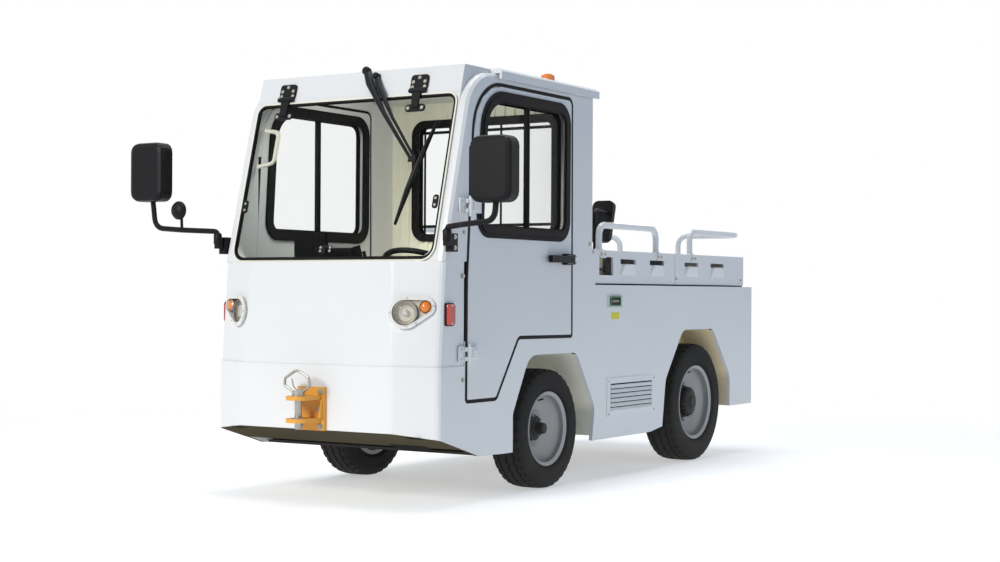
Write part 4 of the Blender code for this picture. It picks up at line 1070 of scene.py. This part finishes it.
def build_hitches():
    """Bolts, washers and webs of each drawbar jaw, then the drop pins."""
    for end, face, sign in JAWS:
        heads = []
        for x, z in ((0.055, 0.345), (0.055, 0.500), (-0.055, 0.345), (-0.055, 0.500),
                     (0.055, 0.423)):
            heads += bolt((x, face + sign * 0.0205, z), (0, sign, 0), 0.009)
        piece(f"hitch_bolts_{end}", heads, "tug_body", STEEL)
        centre = (0.0, face + sign * PIN_REACH)
        rings = [lathe([(0.0175, 0.0), (0.030, 0.0), (0.030, 0.003), (0.0175, 0.003)],
                       (*centre, level), "Z", 28, closed=True) for level in (0.3845, 0.4845)]
        piece(f"hitch_washers_{end}", rings, "tug_body", STEEL)
        webs = [stack([[(x - 0.004, face + sign * low, 0.384), (x + 0.004, face + sign * low, 0.384),
                        (x + 0.004, face + sign * high, 0.466),
                        (x - 0.004, face + sign * high, 0.466)]
                       for low, high in ((0.0205, 0.0205), (0.045, 0.030))])
                for x in (-0.066, 0.066)]
        piece(f"hitch_webs_{end}", webs, "tug_body", YELLOW, bevel=0.001)
    for end, face, sign in JAWS:
        y = face + sign * PIN_REACH
        pin = lathe([(0.0001, 0.335), (0.013, 0.336), (0.016, 0.342), (0.016, 0.4843),
                     (0.027, 0.4845), (0.028, 0.490), (0.028, 0.503), (0.024, 0.508),
                     (0.0001, 0.510)], (0.0, y, 0.0), "Z", 32)
        handle = tube(bent([(-0.024, y, 0.500, 0), (-0.078, y, 0.530, 0.012),
                            (-0.070, y + sign * 0.006, 0.562, 0.016),
                            (0.000, y + sign * 0.010, 0.602, 0.040),
                            (0.064, y + sign * 0.006, 0.568, 0.016),
                            (0.066, y, 0.532, 0.012), (0.024, y, 0.500, 0)], 5), 0.0060, 12)
        piece(f"drop_pin_{end}", [pin, handle], "tug_body", STEEL,
              replaces=(f"{end}_hitch_pin",))
    lanyard = tube(bent([(-0.030, at(-0.108), 0.545, 0), (-0.070, at(-0.070), 0.560, 0.02),
                         (-0.090, at(-0.030), 0.520, 0.02), (-0.078, at(-0.004), 0.490, 0)]),
                   0.0025, 8)
    piece("pin_lanyard", [lanyard], "tug_body", STEEL)


# ---------------------------------------------------------------- roof, beacon and cab inside

def build_beacon():
    low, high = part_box("beacon")
    centre = ((low[0] + high[0]) / 2, (low[1] + high[1]) / 2)
    base = lathe([(0.0001, 0.0), (0.045, 0.0), (0.045, 0.012), (0.041, 0.018), (0.0001, 0.018)],
                 (*centre, low[2]), "Z", 40)
    tall = high[2] - low[2]
    dome = lathe([(0.037, 0.017), (0.038, 0.030), (0.0365, tall - 0.016), (0.031, tall - 0.006),
                  (0.020, tall - 0.001), (0.0001, tall)], (*centre, low[2]), "Z", 40)
    piece("beacon_base", [base], "tug_body", PLASTIC, replaces=("beacon",))
    piece("beacon_dome", [dome], "tug_body", ORANGE)


def build_cab_inside():
    """Ribs of the rear wall, dash controls, floor mat and pedals."""
    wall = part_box("cab_rear_wall")[0][1]
    ribs = []
    for index in range(19):
        x = -0.54 + index * 0.06
        spans = ((0.715, 1.225), (1.855, 1.940)) if abs(x) < 0.44 else ((0.715, 1.940),)
        for foot, head in spans:
            ribs.append(stack([[(x - 0.014, wall + 0.0005, z), (x - 0.007, wall - 0.008, z),
                                (x + 0.007, wall - 0.008, z), (x + 0.014, wall + 0.0005, z)]
                               for z in (foot, head)]))
    piece("rear_wall_ribs", ribs, "tug_body", TRIM)
    ring = band(plate((-0.452, 0.452), (1.218, 1.862), 0.08, 8),
                plate((-0.412, 0.412), (1.258, 1.822), 0.04, 8), "Y", wall - 0.012, wall)
    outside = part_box("cab_rear_wall")[1][1]
    outer_ring = shifted(ring, Matrix.Translation((0, outside + 0.0121 - wall, 0)))
    piece("rear_window_rubber", [ring, outer_ring], "tug_body", RUBBER)
    screen = [box((-0.290, -0.105), (at(0.215), at(0.240)), (1.085, 1.225))]
    knobs = [lathe([(0.0001, 0.016), (0.010, 0.015), (0.012, 0.0)], (x, at(0.330), 1.052), "Z",
                   20) for x in (-0.34, -0.28, -0.22)]
    knobs.append(tube([(0.10, at(0.27), 1.06), (0.09, at(0.25), 1.135)], [0.006, 0.009], 12))
    piece("dash_display", screen, "tug_body", SLOT_SHADE_AND_SCREEN, bevel=0.003)
    piece("dash_knobs", knobs, "tug_body", PLASTIC)
    mat = box((-0.52, 0.52), (at(0.13), at(0.575)), (0.4205, 0.428))
    pedals = []
    for x in (0.20, 0.37):
        pedals.append(shifted(box((x - 0.035, x + 0.035), (-0.012, 0.012), (-0.055, 0.055)),
                              Matrix.Translation((0, at(0.30), 0.505))
                              @ Matrix.Rotation(math.radians(-35), 4, "X")))
        pedals.append(tube([(x, at(0.31), 0.50), (x, at(0.22), 0.56)], 0.008, 10))
    piece("floor_mat", [mat], "tug_body", RUBBER, bevel=0.002)
    piece("pedals", pedals, "tug_body", RUBBER, bevel=0.003)


VOXEL = 0.007
MOST_SWELL = 0.012
CLOTH_FRAMES = 20


def settle(pad):
    """The mesh as its modifiers leave it, with the modifiers gone."""
    graph = bpy.context.evaluated_depsgraph_get()
    pad.data = bpy.data.meshes.new_from_object(pad.evaluated_get(graph))
    pad.modifiers.clear()


def pillow(name, corners, axis, low, high, body, replaces=()):
    """Upholstered pad: a rounded block blown up a little by a cloth simulation."""
    pad = object_of(name, prism(rounded(corners), axis, low, high), VINYL)
    remesh = pad.modifiers.new("remesh", "REMESH")
    remesh.mode = "VOXEL"
    remesh.voxel_size = VOXEL
    settle(pad)
    relax = pad.modifiers.new("relax", "SMOOTH")
    relax.iterations = 6
    settle(pad)
    blow(pad)
    pad.data.shade_smooth()
    if not pad.data.materials:
        pad.data.materials.append(VINYL)
    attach(pad, body)
    if replaces:
        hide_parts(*replaces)
    return pad


def blow(pad):
    """Cloth under inner pressure, its movement held within a few millimetres."""
    start = [vertex.co.copy() for vertex in pad.data.vertices]
    cloth = pad.modifiers.new("cloth", "CLOTH")
    cloth.settings.use_pressure = True
    cloth.settings.uniform_pressure_force = 4.0
    cloth.settings.effector_weights.gravity = 0.0
    cloth.settings.tension_stiffness = 15
    cloth.settings.compression_stiffness = 15
    cloth.settings.bending_stiffness = 0.8
    cloth.settings.quality = 5
    cloth.point_cache.frame_start = 1
    cloth.point_cache.frame_end = CLOTH_FRAMES
    scene = bpy.context.scene
    for number in range(1, CLOTH_FRAMES + 1):
        scene.frame_set(number)
    settle(pad)
    for before, vertex in zip(start, pad.data.vertices):
        change = vertex.co - before
        if change.length > MOST_SWELL:
            vertex.co = before + change.normalized() * MOST_SWELL
    scene.frame_set(1)


def build_seat():
    """The seat: its two padded cushions, and what carries them."""
    low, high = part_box("driver_seat")
    left, right = low[0] + 0.012, high[0] - 0.012
    pillow("seat_cushion", [(at(0.835), 0.778, 0.02), (at(1.250), 0.770, 0.02),
                            (at(1.245), 0.868, 0.03), (at(0.835), 0.872, 0.045)],
           "X", left, right, "tug_body", replaces=("driver_seat",))
    pillow("seat_back", [(at(1.262), 0.800, 0.02), (at(1.330), 0.795, 0.02),
                         (at(1.382), 1.232, 0.030), (at(1.306), 1.240, 0.035)],
           "X", left, right, "tug_body")
    middle = (left + right) / 2
    base = [prism(plate((middle - 0.20, middle + 0.20), (at(0.87), at(1.33)), 0.03), "Z",
                  0.7005, 0.760),
            box((middle - 0.205, middle + 0.205), (at(1.335), at(1.349)), (0.80, 0.98))]
    piece("seat_base", base, "tug_body", PLASTIC, bevel=0.004)


def build_steering_wheel():
    """Padded rim, three spokes and a boss on the wheel's own axis."""
    axis = Vector((0, 0.46 - 0.17, 1.06 - 0.45)).normalized()
    place = facing(Vector((0.28, at(0.46), 1.06)), axis)
    radius = 0.185
    grip = []
    for k in range(72):
        angle = 2 * math.pi * k / 72
        grip.append([(math.cos(angle) * (radius + 0.0135 * math.cos(t)),
                      math.sin(angle) * (radius + 0.0135 * math.cos(t)),
                      0.0135 * math.sin(t)) for t in
                     [2 * math.pi * j / 14 for j in range(14)]])
    grip.append(grip[0])
    shapes = [stack(grip, False)]
    shapes.append(lathe([(0.0001, 0.018), (0.030, 0.017), (0.044, 0.010), (0.046, -0.006),
                         (0.036, -0.026), (0.0001, -0.026)], (0, 0, 0), "Z", 32))
    for degrees in (90, 210, 330):
        turn = Matrix.Rotation(math.radians(degrees), 4, "Z")
        spoke = stack([[(x, -w, -t), (x, w, -t), (x, w, t), (x, -w, t)]
                       for x, w, t in ((0.030, 0.022, 0.006), (0.090, 0.014, 0.005),
                                       (0.180, 0.017, 0.006))])
        shapes.append(shifted(spoke, turn))
    piece("steering_wheel_rim", [shifted(shape, place) for shape in shapes],
          "steering_wheel_body", PLASTIC, bevel=0.002, replaces=("steering_wheel",))


# ---------------------------------------------------------------- camera, light and floor

LENS = 60.21
SHIFT = 0.0116
CAMERA_PLACE = (4.690, at(-5.941), 0.945)
CAMERA_TURN = dict(yaw=31.941, pitch=0.023, roll=0.292)


def build_camera():
    camera = bpy.data.cameras.new("photo_camera")
    camera.sensor_width = 36.0
    camera.lens = LENS
    camera.shift_y = SHIFT
    thing = bpy.data.objects.new("photo_camera", camera)
    bpy.context.scene.collection.objects.link(thing)
    yaw, pitch, roll = (math.radians(CAMERA_TURN[turn]) for turn in ("yaw", "pitch", "roll"))
    thing.matrix_world = (Matrix.Translation(CAMERA_PLACE)
                          @ Matrix.Rotation(yaw, 4, "Z")
                          @ Matrix.Rotation(math.pi / 2 + pitch, 4, "X")
                          @ Matrix.Rotation(roll, 4, "Z"))
    bpy.context.scene.camera = thing


def area_light(name, place, target, size, power, colour):
    light = bpy.data.lights.new(name, "AREA")
    light.shape = "RECTANGLE"
    light.size, light.size_y = size
    light.energy = power
    light.color = colour
    thing = bpy.data.objects.new(name, light)
    bpy.context.scene.collection.objects.link(thing)
    direction = Vector(target) - Vector(place)
    thing.matrix_world = (Matrix.Translation(place)
                          @ direction.to_track_quat("-Z", "Y").to_matrix().to_4x4())


def build_light():
    area_light("key", (-0.9, -9.5, 4.2), (0.0, -1.2, 0.9), (2.4, 2.6), 525, (1.0, 0.955, 0.88))
    area_light("side_fill", (8.0, 1.5, 3.0), (0.0, 0.3, 0.8), (4.0, 3.0), 26, (0.40, 0.66, 1.0))
    area_light("top", (0.0, 0.4, 6.5), (0.0, 0.2, 0.0), (3.0, 4.0), 160, (1.0, 1.0, 1.0))
    area_light("cab_fill", (0.0, at(0.52), 1.90), (0.0, at(1.05), 0.9), (0.7, 0.3), 7,
               (1.0, 0.97, 0.84))
    area_light("back", (-4.0, 6.5, 3.0), (0.0, 0.6, 0.8), (4.0, 3.0), 150, (1.0, 0.98, 0.96))


def build_world():
    """Soft sky light, seen as white by the camera, in reflections and through glass."""
    world = bpy.data.worlds.new("studio")
    bpy.context.scene.world = world
    world.use_nodes = True
    tree = world.node_tree
    ambient = tree.nodes["Background"]
    ambient.inputs["Color"].default_value = (0.60, 0.77, 1.0, 1)
    ambient.inputs["Strength"].default_value = 0.32
    white = tree.nodes.new("ShaderNodeBackground")
    white.inputs["Color"].default_value = (1, 1, 1, 1)
    path = tree.nodes.new("ShaderNodeLightPath")
    seen = path.outputs["Is Camera Ray"]
    for ray in ("Is Glossy Ray", "Is Transmission Ray"):
        either = tree.nodes.new("ShaderNodeMath")
        either.operation = "MAXIMUM"
        tree.links.new(seen, either.inputs[0])
        tree.links.new(path.outputs[ray], either.inputs[1])
        seen = either.outputs[0]
    blend = tree.nodes.new("ShaderNodeMixShader")
    tree.links.new(seen, blend.inputs[0])
    tree.links.new(ambient.outputs[0], blend.inputs[1])
    tree.links.new(white.outputs[0], blend.inputs[2])
    tree.links.new(blend.outputs[0], tree.nodes["World Output"].inputs["Surface"])


def build_floor():
    """Pale floor that fades to nothing a few metres away, so that no horizon shows."""
    size = 14.0
    mesh = bpy.data.meshes.new("floor")
    mesh.from_pydata([(-size, -size, 0), (size, -size, 0), (size, size, 0), (-size, size, 0)],
                     [], [(0, 1, 2, 3)])
    material, tree, shader = start_material("floor_white")
    tint = mixed(tree, noise(tree, 1.5, 2.0), (0.80, 0.80, 0.80), (0.82, 0.82, 0.82))
    tree.links.new(tint, shader.inputs["Base Color"])
    shader.inputs["Roughness"].default_value = 0.9
    shader.inputs["Specular IOR Level"].default_value = 0.0
    shader.inputs["Emission Color"].default_value = (1, 1, 1, 1)
    shader.inputs["Emission Strength"].default_value = 0.47
    place = tree.nodes.new("ShaderNodeTexCoord")
    distance = tree.nodes.new("ShaderNodeVectorMath")
    distance.operation = "LENGTH"
    tree.links.new(place.outputs["Object"], distance.inputs[0])
    fade = ramp(tree, distance.outputs["Value"], 2.6, 5.0, 0.0, 1.0)
    nothing = tree.nodes.new("ShaderNodeBsdfTransparent")
    blend = tree.nodes.new("ShaderNodeMixShader")
    tree.links.new(fade, blend.inputs[0])
    tree.links.new(shader.outputs[0], blend.inputs[1])
    tree.links.new(nothing.outputs[0], blend.inputs[2])
    tree.links.new(blend.outputs[0], tree.nodes["Material Output"].inputs["Surface"])
    mesh.materials.append(material)
    floor = bpy.data.objects.new("floor", mesh)
    bpy.context.scene.collection.objects.link(floor)


# ---------------------------------------------------------------- assembly

bpy.context.scene.view_settings.view_transform = "Standard"
build_camera()
build_light()
build_world()
build_floor()
dress_nodes()
build_undersides()
build_wheels()
build_doors()
build_windscreen()
build_wiper()
build_headlights()
build_side_lamps()
build_tail()
build_vents()
build_charging_socket()
build_pillar_bolts()
build_covers()
build_mirror_faces()
build_hitches()
build_beacon()
build_cab_inside()
build_seat()
build_steering_wheel()
